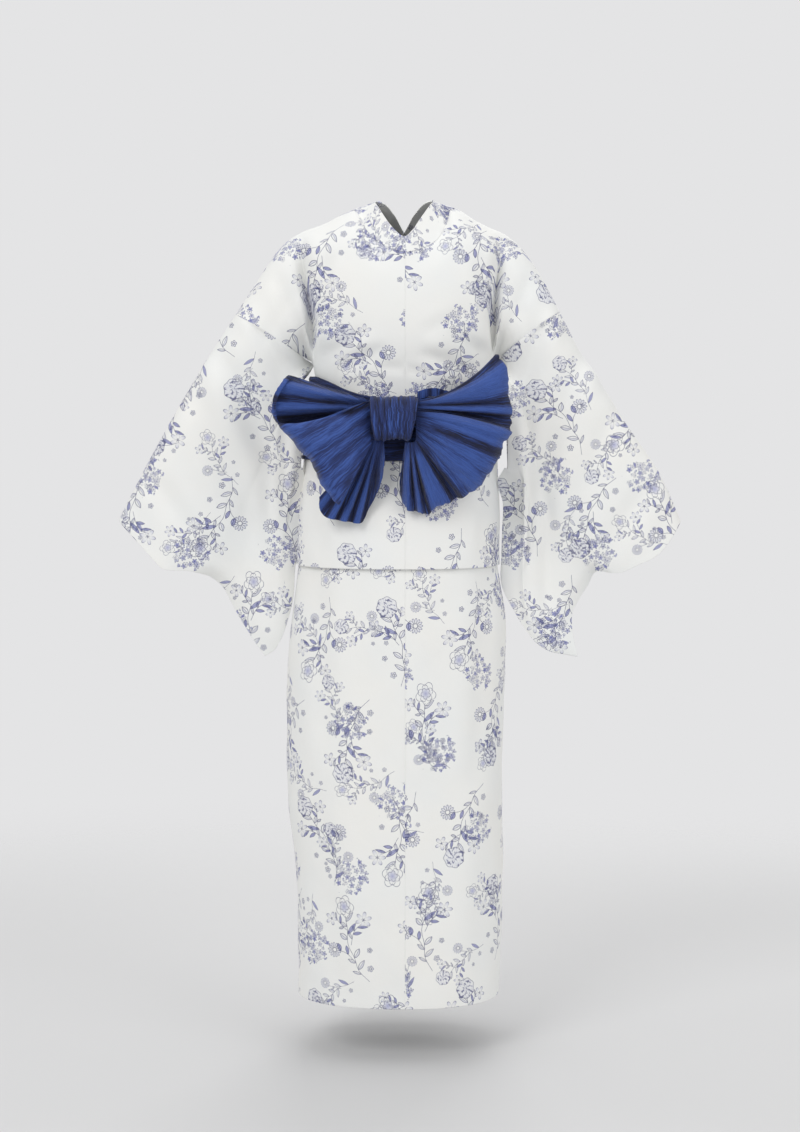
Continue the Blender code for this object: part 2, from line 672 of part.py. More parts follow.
def bow_left():
    behind_at = (0.0, 0.25, 0.5, 0.75, 0.92)
    ahead_at = (0.92, 0.78, 0.58, 0.38, 0.18, 0.0)
    grid = np.zeros((len(BOW_LEFT), len(behind_at) + 1 + len(ahead_at), 3))
    for i, (mx, mz, bx, bz, fx, fz, behind, ahead) in enumerate(BOW_LEFT):
        middle = (ahead + behind) / 2
        for k, v in enumerate((*behind_at, 1.0, *ahead_at)):
            back = k <= len(behind_at)
            ex, ez, leaf = (bx, bz, behind) if back else (fx, fz, ahead)
            x, z = ex + (mx - ex) * v, ez + (mz - ez) * v
            short = np.hypot(mx - ex, mz - ez)
            y = leaf
            if back and short > 0.05:
                y = -0.112 + (leaf + 0.112) * ease(v / 0.5)
            elif not back and short > 0.05 and ex > -0.06:
                y = -0.138 + (leaf + 0.138) * ease(v / 0.4)
            y = middle + (y - middle) * roll((1 - v) * max(short, 0.02) / 0.022)
            grid[i, k] = (x, y, z)
    return grid


def bow_tail():
    grid = np.zeros((len(BOW_TAIL), 6, 3))
    for i, (rx, rz, fx, fz, depth) in enumerate(BOW_TAIL):
        for k, v in enumerate((0.0, 0.2, 0.4, 0.6, 0.8, 1.0)):
            y = -0.130 + (depth + 0.130) * ease(v / 0.9)
            grid[i, k] = (rx + (fx - rx) * v, y, rz + (fz - rz) * v)
    return grid


def bow_tuft():
    grid = np.zeros((7, 3, 3))
    for i, x in enumerate(np.linspace(0.0185, 0.074, 7)):
        for k, v in enumerate((0.0, 0.5, 1.0)):
            top = -0.2915 + 0.006 * np.sin(np.pi * min((x - 0.018) / 0.05, 1.0))
            z = top - 0.013 * v
            behind = body_depth(x, z, False, BELT_OUT) - SASH - SEAM - 0.0030 * (i % 2)
            grid[i, k] = (x, behind, z)
    return grid


def knot():
    around = 20
    y0, z0 = KNOT_CENTRE
    points, faces = [], []
    for x, half_height, half_depth in KNOT:
        for k in range(around):
            a = 2 * np.pi * k / around
            c, s = np.cos(a), np.sin(a)
            y = y0 + half_depth * np.sign(c) * abs(c) ** 0.8
            points.append((x, y, z0 + half_height * np.sign(s) * abs(s) ** 0.8))
    for i in range(len(KNOT) - 1):
        for k in range(around):
            n = (k + 1) % around
            faces.append((i * around + k, i * around + n, (i + 1) * around + n, (i + 1) * around + k))
    faces.append(tuple(range(around))[::-1])
    faces.append(tuple((len(KNOT) - 1) * around + k for k in range(around)))
    return points, faces


for old in list(bpy.data.objects):
    bpy.data.objects.remove(old, do_unlink=True)
ROBE = bpy.data.collections.new("Yukata robe")
bpy.context.scene.collection.children.link(ROBE)
WHITE = cloth_colour("Printed cotton", (0.80, 0.80, 0.78), 0.85)
NAVY = cloth_colour("Navy crinkled sash", (0.035, 0.055, 0.21), 0.8)

for side, word in ((-1, "left"), (1, "right")):
    grid, across = upper_panel(side, False)
    shoulder = int(np.argmin(abs(across - neck_share(side))))
    square = (("u0", 0, 0), ("v0", 1, shoulder))
    wall(f"back_{word}", pull_in(grid, ("u0", "u1", "v0", "v1")), COTTON, WHITE, square)
    grid, across = upper_panel(side, True)
    grid = pull_in(pull_in(grid, ("u0", "v0", "v1")), ("u1",), 2 * SEAM)
    wall(f"front_{word}", grid, COTTON, WHITE, (("v0", 1, 0),))

TUCK_ROWS = np.array([WAIST_SPLIT - 0.004, -0.375, -0.410, -0.450, -0.490, -0.530, -0.552, TUCK_EDGE])
SKIRT_ROWS = np.array(
    [WAIST_SPLIT, -0.40, -0.46, -0.53, -0.60, -0.66, -0.72, -0.80, -0.88, -0.95, -1.02, -1.10, -1.18, HEM]
)
GORE_SEAM = 0.93  # share past the front middle, where the gore is sewn on
OVER_END = 0.605  # share at which the over gore ends, on the right side
UNDER_END = 0.675  # and the under gore, on the left side


def tuck_out(share, z):
    swell = 0.0012 * ease((WAIST_SPLIT - 0.06 - z) / 0.08)
    edge = 0.0004 * ease((z - TUCK_EDGE) / -0.001 + 1.0) if z < TUCK_EDGE + 0.0005 else 0.0
    return TUCK_OUT + swell - edge


def over_out(share, z):
    return LAYER * ease((abs(share) - 0.622) / 0.020) if share < 0 and share > -1 else LAYER


for side, word in ((-1, "left"), (1, "right")):
    grid = skirt_panel(lambda z: 0.0, lambda z: side * side_seam(z), 12, TUCK_ROWS, tuck_out)
    wall(f"tuck_back_{word}", pull_in(grid, ("u0", "u1")), COTTON, WHITE, (("u0", 0, 0),))
    grid = skirt_panel(lambda z: 0.0, lambda z: side * side_seam(z), 11, SKIRT_ROWS, lambda s, z: 0.0)
    wall(f"skirt_back_{word}", pull_in(grid, ("u0", "u1", "v0")), COTTON, WHITE, (("u0", 0, 0),))
grid = skirt_panel(lambda z: -side_seam(z), lambda z: -2 + side_seam(z), 17, TUCK_ROWS, tuck_out)
wall("tuck_front", pull_in(grid, ("u0", "u1")), COTTON, WHITE)
grid = skirt_panel(lambda z: -side_seam(z), lambda z: -2 + GORE_SEAM, 12, SKIRT_ROWS, over_out)
wall("skirt_front_left", pull_in(grid, ("u0", "u1", "v0")), COTTON, WHITE)
grid = skirt_panel(lambda z: -2 + GORE_SEAM, lambda z: -2 + OVER_END, 9, SKIRT_ROWS, over_out)
wall("gore_left", pull_in(grid, ("u0",)), COTTON, WHITE)
grid = skirt_panel(lambda z: side_seam(z), lambda z: 2 - GORE_SEAM, 10, SKIRT_ROWS, lambda s, z: 0.0)
wall("skirt_front_right", pull_in(grid, ("u0", "u1", "v0")), COTTON, WHITE)
grid = skirt_panel(lambda z: 2 - GORE_SEAM, lambda z: 2 - UNDER_END, 6, SKIRT_ROWS, lambda s, z: 0.0)
wall("gore_right", pull_in(grid, ("u0",)), COTTON, WHITE)

for side, word in ((-1, "left"), (1, "right")):
    for front, place in ((False, "back"), (True, "front")):
        grid = sleeve_wall(side, front)
        grid = pull_in(grid, ("u0",), COTTON / 2 + SEAM)
        wall(f"sleeve_{word}_{place}", grid, COTTON, WHITE, (("v0", 1, 0),))

wall("collar", pull_in(collar(), ("v0",)), COTTON, WHITE)
wall("sash_belt", belt(), SASH, NAVY, ring=True)
wall("bow_right", bow_right(), SASH, NAVY)
wall("bow_left", bow_left(), SASH, NAVY)
wall("bow_tail", bow_tail(), SASH, NAVY)
wall("bow_tuft", bow_tuft(), SASH, NAVY)
solid("sash_knot", *knot(), NAVY)
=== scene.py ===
# %% [markdown]
# A summer kimono of printed cotton with a crinkled navy sash, worn on a general figure and seen from behind.
# Cloth is thin, so each cut piece is a fine sheet of points, shaped by the same sections as its solid. It
# gets its folds, its hem and its weave here.

# %% Load the solids
import math

import bmesh
import bpy
import numpy as np
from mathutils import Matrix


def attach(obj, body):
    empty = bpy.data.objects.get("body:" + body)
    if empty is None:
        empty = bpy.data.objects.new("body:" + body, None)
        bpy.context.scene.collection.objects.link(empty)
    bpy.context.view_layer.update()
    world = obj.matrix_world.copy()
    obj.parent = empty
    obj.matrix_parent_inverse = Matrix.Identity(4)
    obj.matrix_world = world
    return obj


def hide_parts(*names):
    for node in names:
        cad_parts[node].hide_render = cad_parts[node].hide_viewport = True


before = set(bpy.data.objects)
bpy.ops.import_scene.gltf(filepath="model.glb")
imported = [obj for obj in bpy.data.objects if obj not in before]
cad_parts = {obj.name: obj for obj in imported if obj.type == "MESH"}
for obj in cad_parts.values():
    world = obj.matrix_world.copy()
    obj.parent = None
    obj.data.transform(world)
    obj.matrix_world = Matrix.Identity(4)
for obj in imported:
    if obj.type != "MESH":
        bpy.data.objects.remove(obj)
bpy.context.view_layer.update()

# %% [markdown]
# The camera stands behind the wearer, a little above the waist, and looks slightly down. A long lens keeps
# the robe's sides parallel, as in a catalogue picture. It comes first, so that every look uses the same view.

# %% Camera
FLOOR = -1.334  # height of the studio floor, well below the hem because the robe hangs free
lens = bpy.data.cameras.new("Back view")
lens.lens = 74.4
lens.sensor_width = 36.0
camera = bpy.data.objects.new("Back view", lens)
camera.location = (-0.0078, -3.7, -0.2743)
camera.rotation_euler = (math.radians(90 - 4.53), 0.0, 0.0)
bpy.context.scene.collection.objects.link(camera)
bpy.context.scene.camera = camera
print("camera height above the floor:", round(camera.location.z - FLOOR, 3), "m")

# %% [markdown]
# Two cloths make the whole dress: cotton for the robe, and a softer crinkled cloth for the sash. These first
# numbers are walls, gaps between layers and main heights, and every piece below is built from them.

# %% Sizes shared by the pieces
COTTON = 0.0012  # wall of the robe's solids, which the sheets lie inside
SASH = 0.0014  # wall of the sash's solids
COTTON_SHEET, COLLAR_SHEET, SASH_SHEET = 0.0006, 0.0024, 0.0009  # thickness of the drawn sheets
SEAM = 0.0003  # gap between sewn solids
LAYER = 0.0027  # from one layer of the skirt to the next
LIFT = 0.0062  # from the under front to the over front
HEM_DEPTH = 0.018
ROUND = 2.3  # power of the body's rounded plan, 2 is an ellipse
WAIST_SPLIT = -0.345
TUCK_EDGE = -0.562
HEM = -1.2500
TUCK_OUT = 0.0056  # how far the tuck and the belt lie outside the body
BELT_OUT = 0.0092
BELT_FOOT = -0.397
COLLAR_WIDTH = 0.050
ARM_DEPTH = 0.050
BACK_DEPTH = 0.085  # how far behind the shoulders the back hangs, for the print's map
print("from the shoulders to the hem:", -HEM, "m")

# %% [markdown]
# The figure inside is never modelled. A table gives its plan at a few heights, and smooth lines through the
# rows give the plan at any height. A table with named columns is easy to read and to change.

# %% The body's sections
# The body's plan by height: half widths left and right of the back seam, depth behind and in front.
BODY = (
    # z, left, right, back, front
    (0.000, 0.205, 0.200, 0.060, 0.040),
    (-0.050, 0.195, 0.190, 0.082, 0.062),
    (-0.100, 0.185, 0.178, 0.096, 0.090),
    (-0.150, 0.172, 0.164, 0.102, 0.110),
    (-0.200, 0.158, 0.150, 0.102, 0.120),
    (-0.270, 0.141, 0.136, 0.0942, 0.111),
    (-0.345, 0.145, 0.138, 0.0932, 0.107),
    (-0.400, 0.154, 0.140, 0.0982, 0.108),
    (-0.480, 0.162, 0.142, 0.110, 0.113),
    (-0.562, 0.166, 0.144, 0.118, 0.116),
    (-0.640, 0.177, 0.158, 0.121, 0.117),
    (-0.720, 0.185, 0.158, 0.121, 0.117),
    (-0.850, 0.188, 0.154, 0.121, 0.117),
    (-0.940, 0.186, 0.155, 0.121, 0.117),
    (-1.040, 0.174, 0.156, 0.121, 0.117),
    (-1.250, 0.170, 0.150, 0.121, 0.117),
)
# The share of the half girth, from the back seam, at which the side seam lies.
SIDE_SEAM = ((-0.250, 0.52), (-0.345, 0.57), (-0.480, 0.62), (-1.250, 0.62))
print("body sections:", len(BODY))

# %% The top edges and the arm seams
# The top of each back panel from the back seam: along the collar seam, then the shoulder, to the arm seam.
TOP = {
    -1: (
        # x, y, z
        (0.000, -0.092, -0.078), (-0.038, -0.079, -0.065), (-0.064, -0.046, -0.035),
        (-0.080, 0.000, -0.008), (-0.102, 0.000, -0.017), (-0.127, 0.000, -0.030), (-0.158, 0.000, -0.041),
        (-0.178, 0.000, -0.052), (-0.198, 0.000, -0.070), (-0.220, 0.000, -0.101), (-0.242, 0.000, -0.134),
        (-0.266, 0.000, -0.171),
    ),
    1: (
        (0.000, -0.092, -0.078), (0.038, -0.079, -0.067), (0.063, -0.046, -0.036), (0.078, 0.000, -0.006),
        (0.102, 0.000, -0.020), (0.127, 0.000, -0.033), (0.158, 0.000, -0.047), (0.178, 0.000, -0.063),
        (0.202, 0.000, -0.093), (0.221, 0.000, -0.125), (0.243, 0.000, -0.166),
    ),
}
NECK_SIDE = 3  # row of TOP where the shoulder begins
# The arm seam in the view from behind, from the top of the arm to the armpit.
ARM_SEAM = {
    -1: ((-0.266, -0.171), (-0.226, -0.192), (-0.182, -0.221), (-0.141, -0.250)),
    1: ((0.243, -0.166), (0.206, -0.189), (0.170, -0.218), (0.136, -0.250)),
}
VALLEY = 0.590  # share of the top at which the fold behind the arm lies
print("shoulder points:", {side: len(rows) for side, rows in TOP.items()})

# %% Sleeve outlines
# All are in the view from behind, -1 for the left sleeve and 1 for the right one.
SLEEVE_TOP = {
    -1: (
        # x, z from the arm seam to the wrist
        (-0.266, -0.171), (-0.293, -0.212), (-0.326, -0.265), (-0.360, -0.322), (-0.406, -0.404),
        (-0.453, -0.494),
    ),
    1: (
        (0.243, -0.166), (0.274, -0.226), (0.299, -0.262), (0.344, -0.335), (0.403, -0.422),
        (0.436, -0.494),
    ),
}
SLEEVE_SLIT = {
    -1: (
        # x, z of the sleeve's free inner edge, from the armpit down beside the belt
        (-0.1425, -0.250), (-0.1600, -0.270), (-0.160, -0.310), (-0.161, -0.360), (-0.163, -0.410),
    ),
    1: (
        (0.1375, -0.250), (0.1545, -0.270), (0.157, -0.310), (0.159, -0.360), (0.160, -0.410),
    ),
}
ARMPIT = 0.47  # share of the sleeve's inner side at which the armpit lies
SLEEVE_FOOT = {
    -1: (
        # x, z of the sewn lower edge, from beside the belt to the rounded corner
        (-0.163, -0.410), (-0.172, -0.440), (-0.179, -0.493), (-0.186, -0.541), (-0.191, -0.588),
        (-0.192, -0.640), (-0.195, -0.672), (-0.205, -0.696), (-0.222, -0.707),
    ),
    1: (
        (0.160, -0.410), (0.184, -0.440), (0.188, -0.500), (0.187, -0.556), (0.184, -0.615),
        (0.187, -0.642), (0.197, -0.671), (0.214, -0.692), (0.244, -0.701), (0.272, -0.707),
    ),
}
SLEEVE_CUFF = {
    -1: (
        # x, z of the cuff edge, from the wrist to the rounded corner
        (-0.453, -0.494), (-0.430, -0.517), (-0.399, -0.550), (-0.377, -0.570), (-0.350, -0.571),
        (-0.323, -0.576), (-0.288, -0.601), (-0.268, -0.638), (-0.243, -0.676), (-0.222, -0.707),
    ),
    1: (
        (0.436, -0.494), (0.424, -0.515), (0.393, -0.550), (0.366, -0.562), (0.333, -0.576),
        (0.306, -0.573), (0.287, -0.602), (0.264, -0.640), (0.266, -0.680), (0.272, -0.707),
    ),
}
SLEEVE_DEPTH = (
    # share of the way down, half depth at the arm seam, half depth at the cuff
    (0.00, 0.052, 0.034), (0.25, 0.050, 0.036), (0.45, 0.034, 0.026), (0.65, 0.022, 0.014),
    (0.85, 0.015, 0.009), (1.00, 0.010, 0.006),
)
SLEEVE_BACK = {-1: 0.036, 1: 0.048}  # how far the lower inner edge hangs behind the arm
# The lower inner edge turns in beside the body, further than in the solid, as worn sleeves do.
STRIP = {-1: 0.015, 1: 0.034}  # width of the turned edge
STRIP_END = {-1: 0.62, 1: 0.48}  # share of the foot at which it begins to narrow
print("cuff points:", {side: len(rows) for side, rows in SLEEVE_CUFF.items()})

# %% Collar and belt lines
# The free edge of the collar, in the view from behind and from the side.
COLLAR_EDGE = (
    # share from the left neck side to the right one, x, y, z
    (0.00, -0.047, -0.004, 0.003),
    (0.16, -0.043, -0.036, -0.003),
    (0.33, -0.026, -0.066, -0.030),
    (0.50, -0.001, -0.083, -0.054),
    (0.67, 0.020, -0.067, -0.030),
    (0.84, 0.039, -0.036, -0.002),
    (1.00, 0.045, -0.004, 0.004),
)
CROSSING = 0.055  # how far past the middle the collar seam reaches at the belt
# The top of the belt by sideways distance behind; it is level elsewhere.
BELT_TOP = ((0.00, -0.299), (0.05, -0.299), (0.09, -0.289), (0.12, -0.275), (0.138, -0.268))
print("collar rows:", len(COLLAR_EDGE))

# %% [markdown]
# A bow of stiff cloth is a bundle of rays that leave the knot, reach the rim and come back behind. Each row
# below is one ray, and rows that lie further out or further in make the pleats.

# %% The bow's rays
# Each row of a bow half is one ray of cloth from the knot to the rim and back.
BOW_RIGHT = (
    # root x, root z, rim x, rim z, sag of the ray, depth in front, depth behind
    (0.0163, -0.3050, 0.139, -0.234, -0.016, -0.135, -0.116),
    (0.0163, -0.3070, 0.150, -0.250, -0.012, -0.152, -0.114),
    (0.0163, -0.3090, 0.156, -0.272, -0.008, -0.160, -0.112),
    (0.0163, -0.3110, 0.158, -0.294, -0.004, -0.156, -0.112),
    (0.0163, -0.3130, 0.160, -0.309, 0.000, -0.146, -0.112),
    (0.0163, -0.3150, 0.162, -0.321, 0.000, -0.156, -0.112),
    (0.0163, -0.3175, 0.161, -0.334, 0.002, -0.134, -0.112),
    (0.0163, -0.3200, 0.160, -0.346, 0.004, -0.146, -0.112),
    (0.0163, -0.3230, 0.159, -0.357, 0.006, -0.170, -0.112),
    (0.0163, -0.3280, 0.149, -0.370, 0.004, -0.173, -0.112),
    (0.0163, -0.3340, 0.145, -0.384, 0.002, -0.167, -0.113),
    (0.0163, -0.3400, 0.138, -0.398, 0.000, -0.171, -0.114),
    (0.0163, -0.3460, 0.125, -0.418, 0.000, -0.168, -0.116),
    (0.0163, -0.3520, 0.108, -0.437, 0.000, -0.160, -0.118),
    (0.0165, -0.3580, 0.091, -0.451, 0.000, -0.150, -0.120),
    (0.0160, -0.3640, 0.080, -0.453, 0.000, -0.133, -0.121),
    (0.0140, -0.3670, 0.062, -0.461, 0.000, -0.148, -0.121),
    (0.0120, -0.3675, 0.046, -0.468, 0.000, -0.154, -0.121),
    (0.0100, -0.3680, 0.035, -0.475, 0.000, -0.136, -0.121),
    (0.0080, -0.3680, 0.025, -0.477, 0.000, -0.150, -0.121),
    (0.0060, -0.3680, 0.014, -0.471, 0.000, -0.134, -0.121),
    (0.0040, -0.3680, 0.004, -0.472, 0.000, -0.147, -0.121),
    (0.0020, -0.3680, -0.003, -0.456, 0.000, -0.135, -0.121),
    (0.0000, -0.3675, -0.009, -0.443, 0.000, -0.130, -0.119),
)
BOW_LEFT = (
    # rim x, rim z, end behind x, z, end in front x, z, depth behind, depth in front
    (-0.177, -0.266, -0.0530, -0.3040, -0.173, -0.269, -0.120, -0.132),
    (-0.190, -0.282, -0.0530, -0.3080, -0.185, -0.285, -0.142, -0.148),
    (-0.199, -0.301, -0.0530, -0.3120, -0.194, -0.303, -0.134, -0.142),
    (-0.202, -0.319, -0.0530, -0.3160, -0.196, -0.321, -0.136, -0.146),
    (-0.197, -0.334, -0.0530, -0.3200, -0.186, -0.340, -0.112, -0.150),
    (-0.191, -0.343, -0.0530, -0.3240, -0.150, -0.337, -0.107, -0.158),
    (-0.186, -0.350, -0.0530, -0.3270, -0.114, -0.327, -0.108, -0.163),
    (-0.180, -0.356, -0.0540, -0.3300, -0.083, -0.315, -0.109, -0.166),
    (-0.172, -0.364, -0.0560, -0.3330, -0.056, -0.306, -0.110, -0.168),
    (-0.161, -0.378, -0.0900, -0.3500, -0.0530, -0.312, -0.112, -0.170),
    (-0.146, -0.392, -0.1150, -0.3720, -0.0530, -0.322, -0.114, -0.171),
    (-0.135, -0.412, -0.1180, -0.3980, -0.0530, -0.333, -0.118, -0.170),
    (-0.127, -0.430, -0.1210, -0.4240, -0.0530, -0.344, -0.140, -0.168),
    (-0.114, -0.447, -0.1090, -0.4420, -0.0530, -0.358, -0.146, -0.166),
    (-0.101, -0.463, -0.0970, -0.4580, -0.0510, -0.371, -0.148, -0.160),
)
BOW_TAIL = (
    # root x, root z, foot x, foot z, depth at the foot
    (-0.0530, -0.3690, -0.131, -0.452, -0.124),
    (-0.0520, -0.3646, -0.131, -0.468, -0.129),
    (-0.0500, -0.3646, -0.124, -0.481, -0.121),
    (-0.0480, -0.3646, -0.114, -0.485, -0.130),
    (-0.0460, -0.3646, -0.104, -0.487, -0.121),
    (-0.0440, -0.3646, -0.094, -0.489, -0.131),
    (-0.0420, -0.3646, -0.084, -0.490, -0.121),
    (-0.0400, -0.3646, -0.075, -0.492, -0.131),
    (-0.0380, -0.3646, -0.066, -0.491, -0.123),
    (-0.0360, -0.3646, -0.058, -0.474, -0.125),
    (-0.0345, -0.3646, -0.048, -0.456, -0.129),
    (-0.0335, -0.3646, -0.036, -0.426, -0.138),
    (-0.0325, -0.3646, -0.031, -0.396, -0.142),
)
KNOT = (
    # x, half height, half depth
    (-0.0520, 0.0285, 0.0230), (-0.0490, 0.0320, 0.0265), (-0.0350, 0.0325, 0.0280),
    (-0.0180, 0.0318, 0.0285), (0.0000, 0.0325, 0.0280), (0.0120, 0.0325, 0.0265), (0.0155, 0.0290, 0.0235),
)
KNOT_CENTRE = (-0.1318, -0.3315)  # y, z
ROOT_BEHIND, ROOT_AHEAD, ROOT_FRONT, TAIL_ROOT = -0.112, -0.136, -0.138, -0.130  # depths at the knot
print("rays:", len(BOW_RIGHT), "right,", len(BOW_LEFT), "left,", len(BOW_TAIL), "below")

# %% [markdown]
# A smooth line through known values keeps the cloth free of corners between the rows. This one is a cubic
# through each pair of rows, with slopes from their neighbours.

# %% Smooth lines and the body's surface
def fit(known, values, at):
    """Values of a smooth line through known rows, at any place between them."""
    known, values = np.asarray(known, float), np.asarray(values, float)
    at = np.clip(np.asarray(at, float), known[0], known[-1])
    slope = np.gradient(values, known, axis=0)
    row = np.clip(np.searchsorted(known, at, side="right") - 1, 0, len(known) - 2)
    span = known[row + 1] - known[row]
    s = (at - known[row]) / span
    for _ in range(values.ndim - 1):
        span, s = span[..., None], s[..., None]
    start = (1 + 2 * s) * (1 - s) ** 2 * values[row] + s * (1 - s) ** 2 * span * slope[row]
    end = s * s * (3 - 2 * s) * values[row + 1] - s * s * (1 - s) * span * slope[row + 1]
    return start + end


def line(points, at):
    """Points of a smooth line through a few, at shares of its length."""
    points = np.asarray(points, float)
    steps = np.linalg.norm(np.diff(points, axis=0), axis=1)
    known = np.concatenate([[0.0], np.cumsum(steps)]) / steps.sum()
    return fit(known, points, at)


def ease(x):
    """0 up to x = 0, 1 from x = 1, smooth between."""
    x = np.clip(x, 0.0, 1.0)
    return x * x * (3 - 2 * x)


def roll(x):
    """A quarter round: steep at 0, level from 1."""
    x = np.clip(x, 0.0, 1.0)
    return np.sqrt(np.maximum(1 - (1 - x) ** 2, 0.0))


# Shares of the way from the shoulder to the belt at which the upper panels have a row.
DOWN = np.array([0.0, 0.025, 0.06, 0.12, 0.20, 0.30, 0.42, 0.54, 0.66, 0.78, 0.89, 1.0])
BODY_ROWS = np.array(BODY)[::-1]
SEAM_ROWS = np.array(SIDE_SEAM)[::-1]


def plan(z):
    """Half widths and depths of the body at a height."""
    return fit(BODY_ROWS[:, 0], BODY_ROWS[:, 1:], z)


def body_depth(x, z, front, out=0.0):
    """How far the body's surface lies behind or in front, at x and z, or a layer outside it."""
    left, right, back, ahead = plan(z) + out
    half = left if x < 0 else right
    flat = max(1 - (abs(x) / half) ** ROUND, 0.0) ** (1 / ROUND)
    return ahead * flat if front else -back * flat


RINGS = {}


def ring_point(share, z, out=0.0):
    """A point of the body's outline at z. The share is 0 at the back seam and -1 or 1 at the front middle."""
    key = (round(z, 6), round(out, 6), share < 0)
    if key not in RINGS:
        left, right, back, ahead = plan(z) + out
        angle = np.linspace(0.0, np.pi, 181)
        turn = np.cos(angle)
        x = (left if share < 0 else right) * np.maximum(np.sin(angle), 0.0) ** (2 / ROUND)
        y = np.where(turn > 0, -back, ahead) * np.abs(turn) ** (2 / ROUND)
        length = np.concatenate([[0.0], np.cumsum(np.hypot(np.diff(x), np.diff(y)))])
        RINGS[key] = (x, y, length)
    x, y, length = RINGS[key]
    at = min(abs(share), 1.0) * length[-1]
    side = -1 if share < 0 else 1
    return np.array([side * np.interp(at, length, x), np.interp(at, length, y), z])


def side_seam(z):
    """Share of the half girth at which the side seam lies."""
    return float(np.interp(z, SEAM_ROWS[:, 0], SEAM_ROWS[:, 1]))


def crest(x):
    """Height of the shoulder line at a sideways distance."""
    rows = np.array(TOP[-1 if x < 0 else 1][NECK_SIDE:])
    return float(np.interp(abs(x), np.abs(rows[:, 0]), rows[:, 2]))


def chest(x, z, out=0.0):
    """How far the front of the body lies ahead, at x and z, under the shoulder line."""
    return body_depth(x, z, True, out) * float(roll((crest(x) - z) / 0.075))


def girth_share(share):
    """Shares past the front middle run on to the other side."""
    if share < -1:
        return 2 + share
    return share - 2 if share > 1 else share


print("half widths at the belt:", plan(-0.30)[:2].round(3))

# %% [markdown]
# A panel is worked out as a coarse grid first: columns from the middle to the arm, rows from the shoulder to
# the waist. The coarse grid is the same as the solid's, so the sheet lies inside its wall. Only the sleeves'
# inner edges, the left bow half's rim and the knot differ a little.

# %% The upper panels
def arm_seam(side, front, t):
    """The seam between body and sleeve, at share t from the top of the arm to the armpit."""
    t = min(t, 1.0)
    x, z = line(ARM_SEAM[side], t)
    reach = 0.20 * t
    y = ARM_DEPTH * roll(reach / 0.05) * (1 - ease((t - 0.55) / 0.45))
    foot = ring_point(side * side_seam(z), z)[1] * ease((t - 0.55) / 0.45)
    return np.array([x, (y if front else -y) + foot, z])


def neck_share(side):
    """The share of a back panel's top that is the collar seam."""
    steps = np.linalg.norm(np.diff(np.array(TOP[side]), axis=0), axis=1)
    return steps[:NECK_SIDE].sum() / steps.sum()


def upper_panel(side, front):
    """The part of a body panel above the belt and under it, as a grid from the middle to the arm."""
    top = np.array(TOP[side])
    start = 0.0
    if front:
        top = top[NECK_SIDE:]
        start = neck_share(side)
    fold = (VALLEY - start) / (1 - start)
    near = (-0.10, -0.05, -0.025, 0.0, 0.025, 0.05, 0.10)
    across = [*np.linspace(0.0, fold - 0.10, 12 if front else 8)[:-1], *(fold + n for n in near)]
    across = np.unique(np.round([*across, *np.linspace(fold + 0.10, 1.0, 5)], 6))
    if not front:
        nape = neck_share(side)
        across[np.argmin(abs(across - nape))] = nape
    crossing = CROSSING if front else 0.0
    grid = np.zeros((len(across), len(DOWN) + 3, 3))
    for i, u in enumerate(across):
        bend = 0.86 * u / fold if u < fold else 0.86 + 0.14 * (u - fold) / (1 - fold)
        out = LIFT * ease((1 - bend) / 0.12) if front and side < 0 else 0.0
        head = line(top, u)
        foot_z = -0.270 + 0.020 * ease(u / 0.85)
        edge = side * side_seam(foot_z)
        if front:
            reach = -side * (1 - crossing / 0.26)
            share = side * 2 + reach + (edge - (side * 2 + reach)) * bend
        else:
            share = edge * (0.80 * u / fold if u < fold else 0.80 + 0.20 * (u - fold) / (1 - fold))
        foot = ring_point(girth_share(share), foot_z, out)
        for k, r in enumerate(DOWN):
            x, z = head[0] + (foot[0] - head[0]) * r, head[2] + (foot[2] - head[2]) * r
            gone = r * np.hypot(foot[0] - head[0], foot[2] - head[2])
            arm = (ARM_DEPTH if front else -ARM_DEPTH) * roll(gone / 0.055)
            if front:
                torso = chest(x, z, out * ease(k / 3))
            else:
                torso = head[1] + (body_depth(x, z, False) - head[1]) * roll(gone / 0.050)
            beyond = ease((u - fold + 0.03) / 0.06) * (1 - ease((r - 0.55) / 0.45))
            y = torso * (1 - beyond) + arm * beyond
            deep = 0.012 if front else 0.026
            dip = deep * np.exp(-(((u - fold) / 0.030) ** 2)) * ease(r / 0.35) * (1 - ease((r - 0.75) / 0.25))
            y += -dip if front else dip
            if not front:
                y += (foot[1] - y) * ease((r - 0.80) / 0.20)
            point = np.array([x, y, z])
            hold = ease((u - 0.86) / 0.14)
            seam = arm_seam(side, front, r)
            grid[i, k] = point + (seam - point) * hold
        for k, r in enumerate((0.33, 0.67, 1.0)):
            z = foot_z + (WAIST_SPLIT - foot_z) * r
            moved_seam = side * side_seam(z)
            share_z = share + (moved_seam - edge) * u if front else share / edge * moved_seam
            grid[i, len(DOWN) + k] = ring_point(girth_share(share_z), z, out)
    return grid, across


print("back panel grid:", upper_panel(-1, False)[0].shape[:2])

# %% The skirt and the sleeves
def skirt_panel(start, end, columns, rows, out):
    """Part of the skirt or tuck between two shares of the girth, which may change with height."""
    grid = np.zeros((columns, len(rows), 3))
    for i, u in enumerate(np.linspace(0.0, 1.0, columns)):
        for k, z in enumerate(rows):
            share = start(z) + (end(z) - start(z)) * u
            grid[i, k] = ring_point(girth_share(share), z, out(share, z))
    return grid


